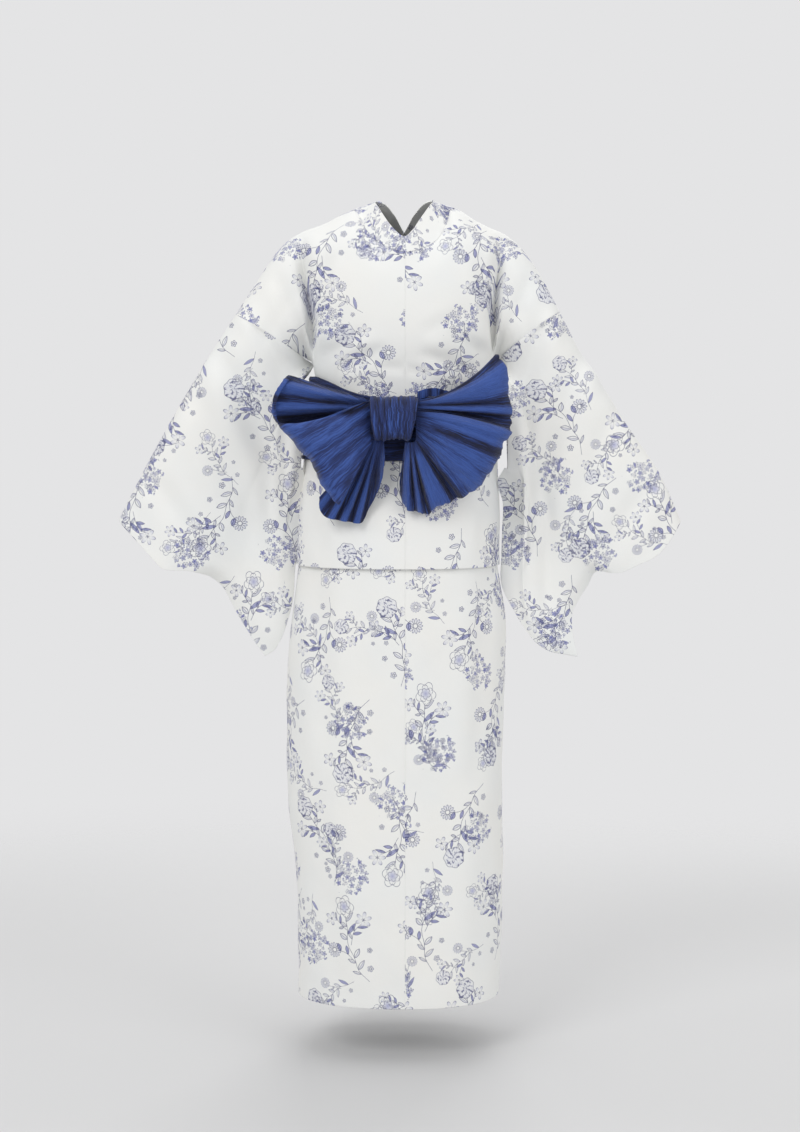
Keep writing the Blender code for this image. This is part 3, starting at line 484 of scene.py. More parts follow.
def sleeve_wall(side, front):
    """One wall of a sleeve: a patch between its four outlines, with the arm's depth, closed at its foot."""
    stations = np.array([0.0, 0.08, 0.18, 0.30, 0.42, 0.54, 0.66, 0.78, 0.88, 0.95, 1.0])
    down = np.concatenate([ARMPIT * DOWN, (0.54, 0.62, 0.70, 0.78, 0.86, 0.93, 1.0)])
    depth = np.array(SLEEVE_DEPTH)
    top, foot = SLEEVE_TOP[side], SLEEVE_FOOT[side]
    slit, cuff = SLEEVE_SLIT[side], SLEEVE_CUFF[side]
    arm, belt_side, wrist, tip = (np.array(p) for p in (top[0], slit[-1], cuff[0], cuff[-1]))
    grid = np.zeros((len(stations), len(down) + 1, 3))
    for i, k in enumerate(stations):
        head, base = line(top, k), line(foot, k)
        for j, t in enumerate(down):
            seam = arm_seam(side, front, t / ARMPIT)
            inner = seam[[0, 2]] if t <= ARMPIT else line(slit, (t - ARMPIT) / (1 - ARMPIT))
            flat = (1 - k) * inner + k * line(cuff, t) + (1 - t) * head + t * base
            flat -= (1 - k) * ((1 - t) * arm + t * belt_side) + k * ((1 - t) * wrist + t * tip)
            gone = np.hypot(*(flat - head))
            half = fit(depth[:, 0], depth[:, 1], t) * (1 - k) + fit(depth[:, 0], depth[:, 2], t) * k
            half *= roll(gone / 0.05)
            sewn = ease((t - 0.50) / 0.06)
            half *= 1 - sewn * (1 - roll((1 - k) / 0.12))
            half *= roll((1 - t) / 0.16 + 0.30 * (1 - ease(k / 0.10)))
            middle = -SLEEVE_BACK[side] * ease((t - 0.25) / 0.5) * (1 - 0.55 * k)
            middle += 0.010 * np.sin(2 * np.pi * (1.6 * t + 0.2)) * k * ease(t / 0.2)
            least = (COTTON / 2 + 1.5 * SEAM) * ease(gone / 0.02) + SEAM / 2
            y = middle + max(half, least) * (1 if front else -1)
            grid[i, j] = (flat[0], y, flat[1])
            hold = (1 - ease(k / 0.12)) * (1 - ease((t - ARMPIT) / 0.12))
            grid[i, j, 1] += (seam[1] - y) * hold
            behind = middle - max(half, least)
        turn = STRIP[side] * (1 - ease((k - STRIP_END[side]) / 0.30))
        turn = turn * (0.1 + 0.9 * ease(k / 0.09)) + 0.001
        end = np.array([grid[i, -2, 0] - side * turn, behind + 0.5 * turn, grid[i, -2, 2]])
        if front:
            end[1] += 2.2 * (COTTON + SEAM)
        grid[i, -1] = end
    for j, t in enumerate(down):
        step = grid[1, j] - grid[0, j]
        snug = ease((t / ARMPIT - 0.6) / 0.3) * (1 - ease((t - ARMPIT) / 0.1))
        bulge = ease(1 - abs(t - ARMPIT) / 0.10)
        grid[:4, j, 0] += side * np.array([0.003, 0.006, 0.004, 0.002]) * bulge
        grid[0, j] += step / np.linalg.norm(step) * 0.0012 * snug
    return grid


print("sleeve grid:", sleeve_wall(-1, False).shape[:2])

# %% The collar and the belt
def collar_leg(side):
    """Seam edge and free edge of the collar band on one front, from the neck to under the belt."""
    out = LIFT if side < 0 else 0.0
    seam = upper_panel(side, True)[0][0][:-1]
    neck = np.array(COLLAR_EDGE[0 if side < 0 else -1][1:])
    leg = []
    for k, p in enumerate(seam):
        step = seam[min(k + 1, len(seam) - 1)] - seam[max(k - 1, 0)]
        reach = np.array([-side * abs(step[2]), 0.0, abs(step[0])])
        free = p + reach * COLLAR_WIDTH / np.linalg.norm(reach)
        free[1] = chest(free[0], free[2], out * ease(k / 3))
        if k >= len(DOWN) - 1:
            free = ring_beside(p, -side * COLLAR_WIDTH, out)
        leg.append((p, neck + (free - neck) * ease(np.linalg.norm(p - seam[0]) / 0.06)))
    return leg


def ring_beside(p, way, out):
    """A point of the body's outline at a distance along it from another in front, towards -x or +x."""
    angle = np.linspace(0.0, 1.0, 120)
    side = 1.0 if way > 0 else -1.0
    points = np.array([ring_point(s, p[2], out) for s in side * (1 - 0.5 * angle)])
    gone = np.concatenate([[0.0], np.cumsum(np.linalg.norm(np.diff(points, axis=0), axis=1))])
    start = np.interp(p[0] * side, points[:, 0] * side, gone)
    at = start + abs(way) + min(p[0] * side, 0.0)
    return np.array([np.interp(at, gone, points[:, 0]), np.interp(at, gone, points[:, 1]), p[2]])


def collar():
    """The collar band from the left front round the nape to the right front: seam edge to free edge."""
    left, right = collar_leg(-1)[::-1], collar_leg(1)
    edge = np.array(COLLAR_EDGE)
    nape = []
    for side in (-1, 1):
        grid, across = upper_panel(side, False)
        for u, p in zip(across / neck_share(side), grid[:, 0]):
            if u < 0.999 and (u > 0 or side < 0):
                share = 0.5 + side * u / 2
                nape.append((share, p, fit(edge[:, 0], edge[:, 1:], share)))
    nape = [row[1:] for row in sorted(nape, key=lambda row: row[0])]
    stations = left + nape + right
    grid = np.zeros((len(stations), 4, 3))
    for i, (seam, free) in enumerate(stations):
        k = max(len(left) - 1 - i, i - len(left) - len(nape))
        out = LIFT * ease(k / 3) if i < len(left) else 0.0
        for j, w in enumerate((0.0, 0.35, 0.7, 1.0)):
            grid[i, j] = seam + (free - seam) * w
            if k >= 0:
                x, z = grid[i, j, 0], grid[i, j, 2]
                grid[i, j, 1] += (chest(x, z, out) - grid[i, j, 1]) * ease((-0.03 - z) / 0.04)
    return grid


def belt():
    """The belt as a closed ring: columns go round, rows run down."""
    columns = 44
    shares = np.linspace(-1.0, 1.0, columns + 1)[:-1]
    heights = np.array(BELT_TOP)
    grid = np.zeros((columns, 5, 3))
    for i, share in enumerate(shares):
        probe = ring_point(share, -0.30, BELT_OUT)
        top = -0.268 - 0.012 * ease(probe[1] / 0.02)
        if probe[1] < 0:
            top = float(fit(heights[:, 0], heights[:, 1], abs(probe[0])))
        for k in range(5):
            z = top + (BELT_FOOT - top) * k / 4
            grid[i, k] = ring_point(share, z, BELT_OUT)
    return grid


print("collar grid:", collar().shape[:2], "belt grid:", belt().shape[:2])

# %% The bow
def bow_right():
    """The right half: each ray goes out to the rim as the near leaf and comes back as the far one."""
    reach = (0.0, 0.14, 0.30, 0.48, 0.66, 0.82, 0.93, 1.0, 0.93, 0.70, 0.40, 0.0)
    grid = np.zeros((len(BOW_RIGHT), len(reach), 3))
    for i, (rx, rz, mx, mz, sag, ahead, behind) in enumerate(BOW_RIGHT):
        middle = (ahead + behind) / 2
        for k, v in enumerate(reach):
            leaf, root = (ahead, ROOT_AHEAD) if k <= 7 else (behind, ROOT_BEHIND)
            x, z = rx + (mx - rx) * v, rz + (mz - rz) * v + sag * 4 * v * (1 - v)
            open_out = ease(v / 0.55)
            y = root + (leaf - root) * open_out
            y = middle + (y - middle) * roll((1 - v) / 0.30)
            grid[i, k] = (x, y, z)
    return grid


def bow_left():
    """The left half: a far leaf behind, and a near one that folds over it and ends on the loop's face."""
    behind_at = (0.0, 0.25, 0.5, 0.75, 0.92)
    ahead_at = (0.92, 0.78, 0.58, 0.38, 0.18, 0.0)
    grid = np.zeros((len(BOW_LEFT), len(behind_at) + 1 + len(ahead_at), 3))
    for i, (mx, mz, bx, bz, fx, fz, behind, ahead) in enumerate(BOW_LEFT):
        middle = (ahead + behind) / 2
        for k, v in enumerate((*behind_at, 1.0, *ahead_at)):
            back = k <= len(behind_at)
            ex, ez, leaf = (bx, bz, behind) if back else (fx, fz, ahead)
            x, z = ex + (mx - ex) * v, ez + (mz - ez) * v
            short = np.hypot(mx - ex, mz - ez)
            y = leaf
            if back and short > 0.05:
                y = ROOT_BEHIND + (leaf - ROOT_BEHIND) * ease(v / 0.5)
            elif not back and short > 0.05 and ex > -0.06:
                y = ROOT_FRONT + (leaf - ROOT_FRONT) * ease(v / 0.4)
            y = middle + (y - middle) * roll((1 - v) * max(short, 0.02) / 0.022)
            grid[i, k] = (x, y, z)
    return grid


def bow_tail():
    """The end that hangs below the left half."""
    grid = np.zeros((len(BOW_TAIL), 6, 3))
    for i, (rx, rz, fx, fz, depth) in enumerate(BOW_TAIL):
        for k, v in enumerate((0.0, 0.2, 0.4, 0.6, 0.8, 1.0)):
            y = TAIL_ROOT + (depth - TAIL_ROOT) * ease(v / 0.9)
            grid[i, k] = (rx + (fx - rx) * v, y, rz + (fz - rz) * v)
    return grid


def bow_tuft():
    """The gathered bit of sash above the knot."""
    grid = np.zeros((7, 3, 3))
    for i, x in enumerate(np.linspace(0.0185, 0.074, 7)):
        for k, v in enumerate((0.0, 0.5, 1.0)):
            top = -0.2915 + 0.006 * np.sin(np.pi * min((x - 0.018) / 0.05, 1.0))
            z = top - 0.013 * v
            behind = body_depth(x, z, False, BELT_OUT) - SASH - SEAM - 0.0030 * (i % 2)
            grid[i, k] = (x, behind, z)
    return grid


print("bow grids:", [half().shape[:2] for half in (bow_right, bow_left, bow_tail, bow_tuft)])

# %% The skirt's rows and the gaps between its layers
TUCK_ROWS = (WAIST_SPLIT - 0.004, -0.375, -0.410, -0.450, -0.490, -0.530, -0.552, TUCK_EDGE)
SKIRT_ROWS = (
    WAIST_SPLIT, -0.40, -0.46, -0.53, -0.60, -0.66, -0.72, -0.80, -0.88, -0.95, -1.02, -1.10, -1.18, HEM,
)
GORE_SEAM = 0.93  # share past the front middle, where the gore is sewn on
OVER_END = 0.605  # share at which the over gore ends, on the right side
UNDER_END = 0.675  # and the under gore, on the left side


def tuck_out(share, z):
    """How far the tuck lies outside the body: it swells a little below the belt."""
    swell = 0.0012 * ease((WAIST_SPLIT - 0.06 - z) / 0.08)
    edge = 0.0004 * ease((z - TUCK_EDGE) / -0.001 + 1.0) if z < TUCK_EDGE + 0.0005 else 0.0
    return TUCK_OUT + swell - edge


def over_out(share, z):
    """How far the over front lies outside the body: it rises from the side seam."""
    return LAYER * ease((abs(share) - 0.622) / 0.020) if -1 < share < 0 else LAYER


def close(share, z):
    """The other lower panels lie on the body."""
    return 0.0


print("rows:", len(TUCK_ROWS), "in the tuck,", len(SKIRT_ROWS), "below")

# %% [markdown]
# Folds are placed one by one. Each row is one crease in the view from behind: where it starts and ends, its
# half width and how deep it is. A trough has a soft ridge on each side, as a real fold has.

# %% The main creases
CREASES = {
    "back": (
        # x0, z0, x1, z1, half width, depth
        (-0.118, -0.080, -0.150, -0.215, 0.012, 0.0040),
        (0.112, -0.075, 0.146, -0.215, 0.012, 0.0045),
        (-0.100, -0.255, -0.030, -0.225, 0.010, 0.0030),
        (-0.118, -0.236, -0.062, -0.196, 0.009, 0.0022),
        (0.100, -0.262, 0.025, -0.232, 0.010, 0.0030),
        (0.122, -0.232, 0.070, -0.196, 0.009, 0.0022),
        (-0.052, -0.250, 0.040, -0.262, 0.007, 0.0018),
        (0.030, -0.200, 0.090, -0.170, 0.010, 0.0014),
        (-0.200, -0.110, -0.170, -0.190, 0.010, 0.0030),
        (0.196, -0.110, 0.164, -0.190, 0.010, 0.0030),
    ),
    "sleeve": (
        (-0.236, -0.165, -0.176, -0.300, 0.012, 0.0050),
        (-0.290, -0.225, -0.200, -0.420, 0.016, 0.0050),
        (-0.330, -0.290, -0.215, -0.560, 0.018, 0.0040),
        (-0.400, -0.420, -0.300, -0.560, 0.016, 0.0040),
        (-0.215, -0.440, -0.205, -0.660, 0.011, 0.0045),
        (-0.186, -0.330, -0.192, -0.560, 0.008, 0.0030),
        (0.222, -0.170, 0.178, -0.300, 0.012, 0.0050),
        (0.275, -0.235, 0.205, -0.420, 0.016, 0.0050),
        (0.330, -0.320, 0.235, -0.560, 0.018, 0.0045),
        (0.390, -0.430, 0.300, -0.560, 0.016, 0.0040),
        (0.222, -0.440, 0.226, -0.640, 0.011, 0.0045),
        (0.192, -0.330, 0.196, -0.560, 0.008, 0.0030),
    ),
    "tuck": (
        (-0.125, -0.400, -0.060, -0.440, 0.012, 0.0022),
        (0.118, -0.400, 0.060, -0.450, 0.012, 0.0022),
        (-0.140, -0.440, -0.128, -0.550, 0.010, 0.0022),
        (0.128, -0.420, 0.120, -0.550, 0.010, 0.0022),
        (-0.070, -0.500, 0.020, -0.520, 0.014, 0.0014),
    ),
    "skirt": (
        (-0.138, -0.560, -0.120, -0.860, 0.016, 0.0034),
        (0.128, -0.560, 0.112, -0.900, 0.016, 0.0034),
        (-0.060, -0.580, -0.078, -1.000, 0.026, 0.0022),
        (0.050, -0.600, 0.066, -1.100, 0.026, 0.0022),
        (-0.135, -0.900, -0.110, -1.230, 0.020, 0.0026),
        (0.130, -0.950, 0.118, -1.235, 0.020, 0.0026),
    ),
}


def creased(points, folds, mirror=False):
    """How far each point moves out for the folds near it, in metres."""
    move = np.zeros(points.shape[:2])
    for x0, z0, x1, z1, wide, deep in CREASES.get(folds, ()):
        start, run = np.array([x0, z0]), np.array([x1 - x0, z1 - z0])
        if mirror:
            start, run = start * (0.93, 1.0) + (0.006, -0.012), run * (0.9, 1.06)
        gone = ((points[..., 0] - start[0]) * run[0] + (points[..., 2] - start[1]) * run[1]) / run.dot(run)
        near = np.clip(gone, 0.0, 1.0)
        off = np.hypot(points[..., 0] - start[0] - near * run[0], points[..., 2] - start[1] - near * run[1])
        along = ease(gone / 0.25 + 0.35) * ease((1.15 - gone) / 0.35)
        ridge, trough = np.exp(-(((off - 1.9 * wide) / wide) ** 2)), np.exp(-((off / wide) ** 2))
        move += deep * along * (0.45 * ridge - trough)
    return move


def ripple(points, size, seed):
    """Small unevenness of cloth in wear: a sum of soft waves in fixed directions."""
    rng = np.random.default_rng(seed)
    total = np.zeros(points.shape[:2])
    for _ in range(9):
        way = rng.normal(size=3)
        way *= 2 * np.pi / (rng.uniform(0.045, 0.13) * np.linalg.norm(way))
        total += np.sin(points @ way + rng.uniform(0, 6.28) + 1.3 * np.sin(points @ way[::-1] * 0.4))
    return size * total / 4.0


def edge_fade(shape, columns, rows=(0, 0)):
    """0 at a grid's edges and 1 so many columns or rows in, for both ends. A 0 leaves that edge alone."""
    fade = np.ones(shape)
    for axis, (first, last) in enumerate((columns, rows)):
        at = np.arange(shape[axis])
        ramp = np.ones(len(at)) * (ease(at / first) if first else 1.0)
        ramp = ramp * (ease(at[::-1] / last) if last else 1.0)
        fade = fade * (ramp[None, :] if axis else ramp[:, None])
    return fade


def settled(grid, normal, folds, mirror, size, seed, fade):
    """The grid with its creases and its ripple, where they aren't faded."""
    return grid + normal * ((creased(grid, folds, mirror) + ripple(grid, size, seed)) * fade)[..., None]


print("creases placed:", sum(len(rows) for rows in CREASES.values()))

# %% [markdown]
# A sheet starts as a flat grid from Blender's grid operator, cut as fine as the cloth needs. Its points then
# move to the coarse grid's smooth surface. The UV map holds the flat cloth in metres, so that a print keeps
# its size where the cloth turns.

# %% From a coarse grid to a sheet
NEAR_EDGE = np.array([0.0008, 0.0018, 0.0032, 0.0050])


def refined(grid, step, closed=False):
    """The grid with smooth rows and columns about a step apart, and closer ones along its edges."""
    if closed:
        grid = np.concatenate([grid[-3:], grid, grid[:4]])
    for axis in (0, 1):
        steps = np.linalg.norm(np.diff(grid, axis=axis), axis=2).mean(axis=1 - axis)
        known = np.concatenate([[0.0], np.cumsum(np.maximum(steps, 1e-5))])
        low, high = (known[3], known[-4]) if closed and axis == 0 else (known[0], known[-1])
        at = np.linspace(low, high, max(int(round((high - low) / step)), 3) + 1)
        if not (closed and axis == 0):
            at = np.unique(np.round([*at, *(low + NEAR_EDGE), *(high - NEAR_EDGE)], 6))
        grid = np.moveaxis(fit(known, np.moveaxis(grid, axis, 0), at), 0, axis)
    return grid


def across_cloth(grid, closed=False):
    """The direction across the cloth at each point."""
    along_u = np.gradient(grid, axis=0)
    if closed:
        along_u[0] = along_u[-1] = grid[1] - grid[-2]
    normal = np.cross(along_u, np.gradient(grid, axis=1))
    return normal / np.maximum(np.linalg.norm(normal, axis=2), 1e-12)[..., None]


def outward(grid, centre=(0.0, 0.0), closed=False):
    """The same, turned away from the body's axis."""
    normal = across_cloth(grid, closed)
    away = (grid[..., 0] - centre[0]) * normal[..., 0] + (grid[..., 1] - centre[1]) * normal[..., 1]
    return normal * (1.0 if away.sum() > 0 else -1.0)


def hemmed(grid, normal, depth):
    """Adds a hem to the last rows: the cloth turns under and runs back inside."""
    tangent = grid[:, -1] - grid[:, -2]
    tangent /= np.linalg.norm(tangent, axis=1)[:, None]
    inward = -normal[:, -1]
    rows = [grid]
    for turn in (45, 90, 135, 180):
        a = math.radians(turn)
        rows.append((grid[:, -1] + 0.0009 * (tangent * math.sin(a) + inward * (1 - math.cos(a))))[:, None])
    for back in (0.35, 1.0):
        rows.append((grid[:, -1] - tangent * depth * back + inward * 0.0018)[:, None])
    return np.concatenate(rows, axis=1)


def hung_map(points):
    """The flat place of each point of a hung panel: how far round from its first column, and how high."""
    step = np.diff(points, axis=0)
    way = 1.0 if (points[-1] - points[0])[:, 0].sum() > 0 else -1.0
    across = points[0, :, 0] + way * np.concatenate(
        [np.zeros((1, points.shape[1])), np.cumsum(np.hypot(step[..., 0], step[..., 1]), axis=0)]
    )
    step = np.diff(points, axis=1)
    gone = np.cumsum(np.hypot(step[..., 1], step[..., 2]), axis=1)
    down = np.concatenate([np.zeros((points.shape[0], 1)), gone], axis=1)
    return np.stack([across, points[:, -1:, 2] + down[:, -1:] - down], axis=2)


def shoulder_map(points):
    """The same for an upper panel: straight across, and its height, with the shoulder's slope drawn out."""
    wall = BACK_DEPTH + (ARM_DEPTH - BACK_DEPTH) * ease((abs(points[..., 0]) - 0.13) / 0.05)
    past = np.maximum(wall - abs(points[..., 1]) - 0.020, 0.0)
    return np.stack([points[..., 0], points[..., 2] + 0.8 * past], axis=2)


def ribbon_map(points, turned=False):
    """The flat place of each point of gathered cloth, whose creases run along the rays to the knot."""
    step = np.linalg.norm(np.diff(points, axis=0), axis=2)
    widest = step[:, step.sum(axis=0).argmax()]
    across = np.concatenate([[0.0], np.cumsum(widest)])[:, None] + np.zeros(points.shape[:2])
    step = np.linalg.norm(np.diff(points, axis=1), axis=2)
    along = np.concatenate([np.zeros((points.shape[0], 1)), np.cumsum(step, axis=1)], axis=1)
    return np.stack([along, across] if turned else [across, along], axis=2)


def ray_map(points, apex):
    """The same for creases that fan out from one point in the view from behind."""
    x, z = points[..., 0] - apex[0], points[..., 2] - apex[1]
    return np.stack([0.25 * np.arctan2(z, -x), np.hypot(x, z)], axis=2)


def hollows(grid, rows):
    """How far each point lies ahead of the mean of its neighbours across the pleats, in millimetres."""
    deep = grid[..., 1]
    wide = np.pad(deep, ((rows, rows), (0, 0)), mode="edge")
    mean = sum(wide[n : n + len(deep)] for n in range(2 * rows + 1)) / (2 * rows + 1)
    return 1000 * (deep - mean)


def sheet(
    name, points, flat_map, material, thick, flat, replaces,
    offset=(0.0, 0.0), closed=False, painted_shade=None,
):
    """A named sheet of cloth from a grid of points, with its area printed beside the size it was cut to."""
    columns, rows = points.shape[:2]
    cloth = bmesh.new()
    bmesh.ops.create_grid(cloth, x_segments=columns - 1, y_segments=rows - 1, size=1.0)
    layer = cloth.loops.layers.uv.new("cloth")
    # A float attribute of painted shade for the sash's material: higher is darker, lower is lighter
    low = cloth.verts.layers.float.new("painted_shade")
    place = {}
    for vert in cloth.verts:
        place[vert] = (round((vert.co.x + 1) / 2 * (columns - 1)), round((vert.co.y + 1) / 2 * (rows - 1)))
    for face in cloth.faces:
        for corner in face.loops:
            i, k = place[corner.vert]
            corner[layer].uv = (offset[0] + flat_map[i, k, 0], offset[1] + flat_map[i, k, 1])
    for vert, (i, k) in place.items():
        vert.co = points[i, k]
        vert[low] = 0.0 if painted_shade is None else float(np.clip(painted_shade[i, k], -1.0, 1.0))
    if closed:
        bmesh.ops.remove_doubles(cloth, verts=cloth.verts, dist=0.00005)
    bmesh.ops.recalc_face_normals(cloth, faces=cloth.faces)
    for face in cloth.faces:
        face.smooth = True
    mesh = bpy.data.meshes.new(name)
    cloth.to_mesh(mesh)
    cloth.free()
    made = bpy.data.objects.new(name, mesh)
    bpy.context.scene.collection.objects.link(made)
    mesh.materials.append(material)
    wall = made.modifiers.new("Cloth thickness", "SOLIDIFY")
    wall.thickness = thick
    wall.offset = 0.0
    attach(made, "root")
    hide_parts(*replaces)
    area = sum(face.area for face in mesh.polygons)
    print(f"{name}: {len(mesh.polygons)} faces, {area:.4f} m2 of {flat[0] * flat[1]:.4f} m2 cut")
    return made


# %% [markdown]
# Every material below is built from nodes. One helper turns web colours to the shader's linear ones, one adds
# a node, and one reads lines of sums into nodes, which keeps long drawings short.

# %% Colours and the helpers that add nodes
def srgb(text):
    """A colour written as on the web, turned to the linear values that shaders take."""
    values = [int(text[i : i + 2], 16) / 255 for i in (1, 3, 5)]
    return (*(v / 12.92 if v <= 0.04045 else ((v + 0.055) / 1.055) ** 2.4 for v in values), 1.0)


def add(tree, kind, inputs=(), **settings):
    """One node with its settings, its values and its links: a socket is linked, anything else is a value."""
    made = tree.nodes.new(kind if kind.startswith("Node") else "ShaderNode" + kind)
    for name, value in settings.items():
        setattr(made, name, value)
    for key, value in (inputs.items() if isinstance(inputs, dict) else enumerate(inputs)):
        if isinstance(value, bpy.types.NodeSocket):
            tree.links.new(value, made.inputs[key])
        elif value is not None:
            made.inputs[key].default_value = value
    return made


def work_out(tree, known, steps):
    """Adds one node for each line of steps, and keeps its result under its name for the lines below.

    A line reads: result = OPERATION terms, or result = NodeKind.Output terms. A dash leaves a socket alone.
    """
    rows = [row.split() for row in steps.splitlines()]
    for result, _, what, *terms in (row for row in rows if row and row[0] != "#"):
        values = [known[t] if t in known else None if t == "-" else float(t) for t in terms]
        kind, _, output = what.rpartition(".")
        if kind:
            known[result] = add(tree, kind, values).outputs[output]
        else:
            known[result] = add(tree, "Math", values, operation=what).outputs[0]
    return known


def motif(name, wants, steps):
    """A group of nodes that draws one motif. It takes a place in centimetres and the motif's sizes."""
    group = bpy.data.node_groups.new(name, "ShaderNodeTree")
    for want in wants:
        group.interface.new_socket(want, in_out="INPUT", socket_type="NodeSocketFloat")
    for give in ("Line", "Tint"):
        group.interface.new_socket(give, in_out="OUTPUT", socket_type="NodeSocketFloat")
    start = add(group, "NodeGroupInput")
    known = work_out(group, {want: start.outputs[want] for want in wants}, steps)
    add(group, "NodeGroupOutput", {"Line": known["Line"], "Tint": known["Tint"]})
    print(f"{name}: {len(group.nodes)} nodes")
    return group


print("ivory:", [round(v, 3) for v in srgb("#eeeee8")])

# %% [markdown]
# The print is a line drawing of sprays: bent stems with leaves, and a blossom at the tip. Drawing one by
# nodes takes only distances. A line is where the distance to a curve is small, and a tint is where it is
# negative. The texts below hold those sums, one node a line, in centimetres.

# %% The print's stems and leaves
LINE = 0.040  # half width of a drawn line in cm; the real one is about 0.5 mm wide, too fine to show
LEAFY_STEM = f"""
# result, operation, terms
left = SUBTRACT Length X
arc = MULTIPLY X left
arc = MULTIPLY arc Bend
y = SUBTRACT Y arc
wander = MULTIPLY_ADD X 1.35 Seed
wander = SINE wander
y = MULTIPLY_ADD wander 0.16 y
side = SIGN y
off = ABSOLUTE y
# leaves alternate: those below the stem start a little later
shifted = MULTIPLY_ADD side 0.40 X
pitch = MULTIPLY Leaf 0.98
place = DIVIDE shifted pitch
number = FLOOR place
start = MULTIPLY number pitch
ahead = SUBTRACT shifted start
key = CombineXYZ.Vector number side Seed
chance = TexWhiteNoise.Value key
long = MULTIPLY_ADD chance 0.75 0.40
long = MULTIPLY long Leaf
# along and across the leaf, which leaves the stem at about 50 degrees
part = MULTIPLY off 0.77
along = MULTIPLY_ADD ahead 0.64 part
part = MULTIPLY off 0.64
across = MULTIPLY_ADD ahead -0.77 part
share = DIVIDE along long
rest = SUBTRACT 1.0 share
swell = MULTIPLY share rest
half = MULTIPLY swell long
half = MULTIPLY half 0.68
beside = ABSOLUTE across
rim = SUBTRACT beside half
inside = LESS_THAN rim 0.0
edge = COMPARE rim 0.0 {LINE}
vein = LESS_THAN beside {0.6 * LINE}
vein = MULTIPLY vein inside
leaf = MAXIMUM edge vein
there = GREATER_THAN chance 0.30
first = GREATER_THAN start 0.1
last = LESS_THAN start Length
there = MULTIPLY there first
there = MULTIPLY there last
leaf = MULTIPLY leaf there
stem = LESS_THAN off {0.85 * LINE}
begun = GREATER_THAN X 0.0
going = GREATER_THAN left 0.0
stem = MULTIPLY stem begun
stem = MULTIPLY stem going
Line = MAXIMUM leaf stem
# one half of a leaf is darker, and some leaves are dark all over
dark = GREATER_THAN chance 0.78
shade = GREATER_THAN across 0.0
shade = MAXIMUM shade dark
shade = MULTIPLY_ADD shade 0.30 0.05
dark = MULTIPLY dark 0.70
shade = ADD shade dark
shade = MULTIPLY shade inside
Tint = MULTIPLY shade there
"""
STEM = motif("Leafy stem", ("X", "Y", "Length", "Bend", "Leaf", "Seed"), LEAFY_STEM)

# %% The print's blossoms
POLAR = """
xx = MULTIPLY X X
rr = MULTIPLY_ADD Y Y xx
r = SQRT rr
turn = ARCTAN2 Y X
"""
PETALS = f"""
{POLAR}
part = MULTIPLY turn Petals
part = MULTIPLY part {1 / (2 * math.pi)}
part = FRACT part
off = SUBTRACT part 0.5
off = ABSOLUTE off
notch = MULTIPLY off off
notch = MULTIPLY notch Notch
reach = SUBTRACT 1.0 notch
reach = MULTIPLY reach Radius
rim = SUBTRACT r reach
inside = LESS_THAN rim 0.0
edge = COMPARE rim 0.0 {LINE}
gap = SUBTRACT 0.5 off
gap = MULTIPLY gap r
gap = DIVIDE gap Petals
ray = LESS_THAN gap {LINE / (2 * math.pi)}
ray = MULTIPLY ray inside
heart = MULTIPLY Radius Heart
outer = GREATER_THAN r heart
ray = MULTIPLY ray outer
ring = COMPARE r heart {LINE}
line = MAXIMUM edge ray
Line = MAXIMUM line ring
# petals are tinted towards the rim, and the heart stays pale
deep = DIVIDE r Radius
deep = MULTIPLY deep deep
deep = MULTIPLY deep outer
deep = MULTIPLY deep 0.6
Tint = MULTIPLY deep inside
"""
DAISY = motif("Petalled blossom", ("X", "Y", "Radius", "Petals", "Notch", "Heart"), PETALS)
ROUND_BLOSSOM = f"""
{POLAR}
wave = MULTIPLY turn 7.0
wave = SINE wave
wave = MULTIPLY_ADD wave 0.05 1.0
reach = MULTIPLY wave Radius
rim = SUBTRACT r reach
inside = LESS_THAN rim 0.0
edge = COMPARE rim 0.0 {LINE}
# the frilled petals inside: bent cells that are larger towards the rim
sway = MULTIPLY r 0.8
sway = ADD sway turn
sway = SINE sway
px = MULTIPLY_ADD sway 0.16 X
py = MULTIPLY_ADD Y 1.25 sway
spot = CombineXYZ.Vector px py 4.0
level = TexVoronoi.Distance spot - 2.15
frill = GREATER_THAN level 0.66
middle = LESS_THAN level 0.07
frill = MAXIMUM frill middle
frill = MULTIPLY frill inside
Line = MAXIMUM edge frill
Line = MULTIPLY Line 0.8
deep = MULTIPLY_ADD level 0.75 -0.10
deep = MAXIMUM deep 0.08
Tint = MULTIPLY deep inside
"""
BALL = motif("Ball blossom", ("X", "Y", "Radius"), ROUND_BLOSSOM)
CUPPED_BLOSSOM = f"""
Y = MULTIPLY_ADD Y 1.15 0.15
{POLAR}
lobes = MULTIPLY turn {5 / (2 * math.pi)}
Line = LESS_THAN r {0.5 * LINE}
"""
for share, shift in ((1.0, 0.0), (0.74, 0.5), (0.46, 0.2)):
    CUPPED_BLOSSOM += f"""
lap = ADD lobes {shift}
lap = FRACT lap
lap = SUBTRACT lap 0.5
lap = MULTIPLY lap lap
reach = MULTIPLY_ADD lap {-1.55 * share} {share}
reach = MULTIPLY reach Radius
rim = COMPARE r reach {LINE}
Line = MAXIMUM Line rim
"""
CUPPED_BLOSSOM += """
deep = DIVIDE r Radius
deep = MULTIPLY_ADD deep -1.7 1.0
Tint = MAXIMUM deep 0.0
"""
CUP = motif("Cupped blossom", ("X", "Y", "Radius"), CUPPED_BLOSSOM)
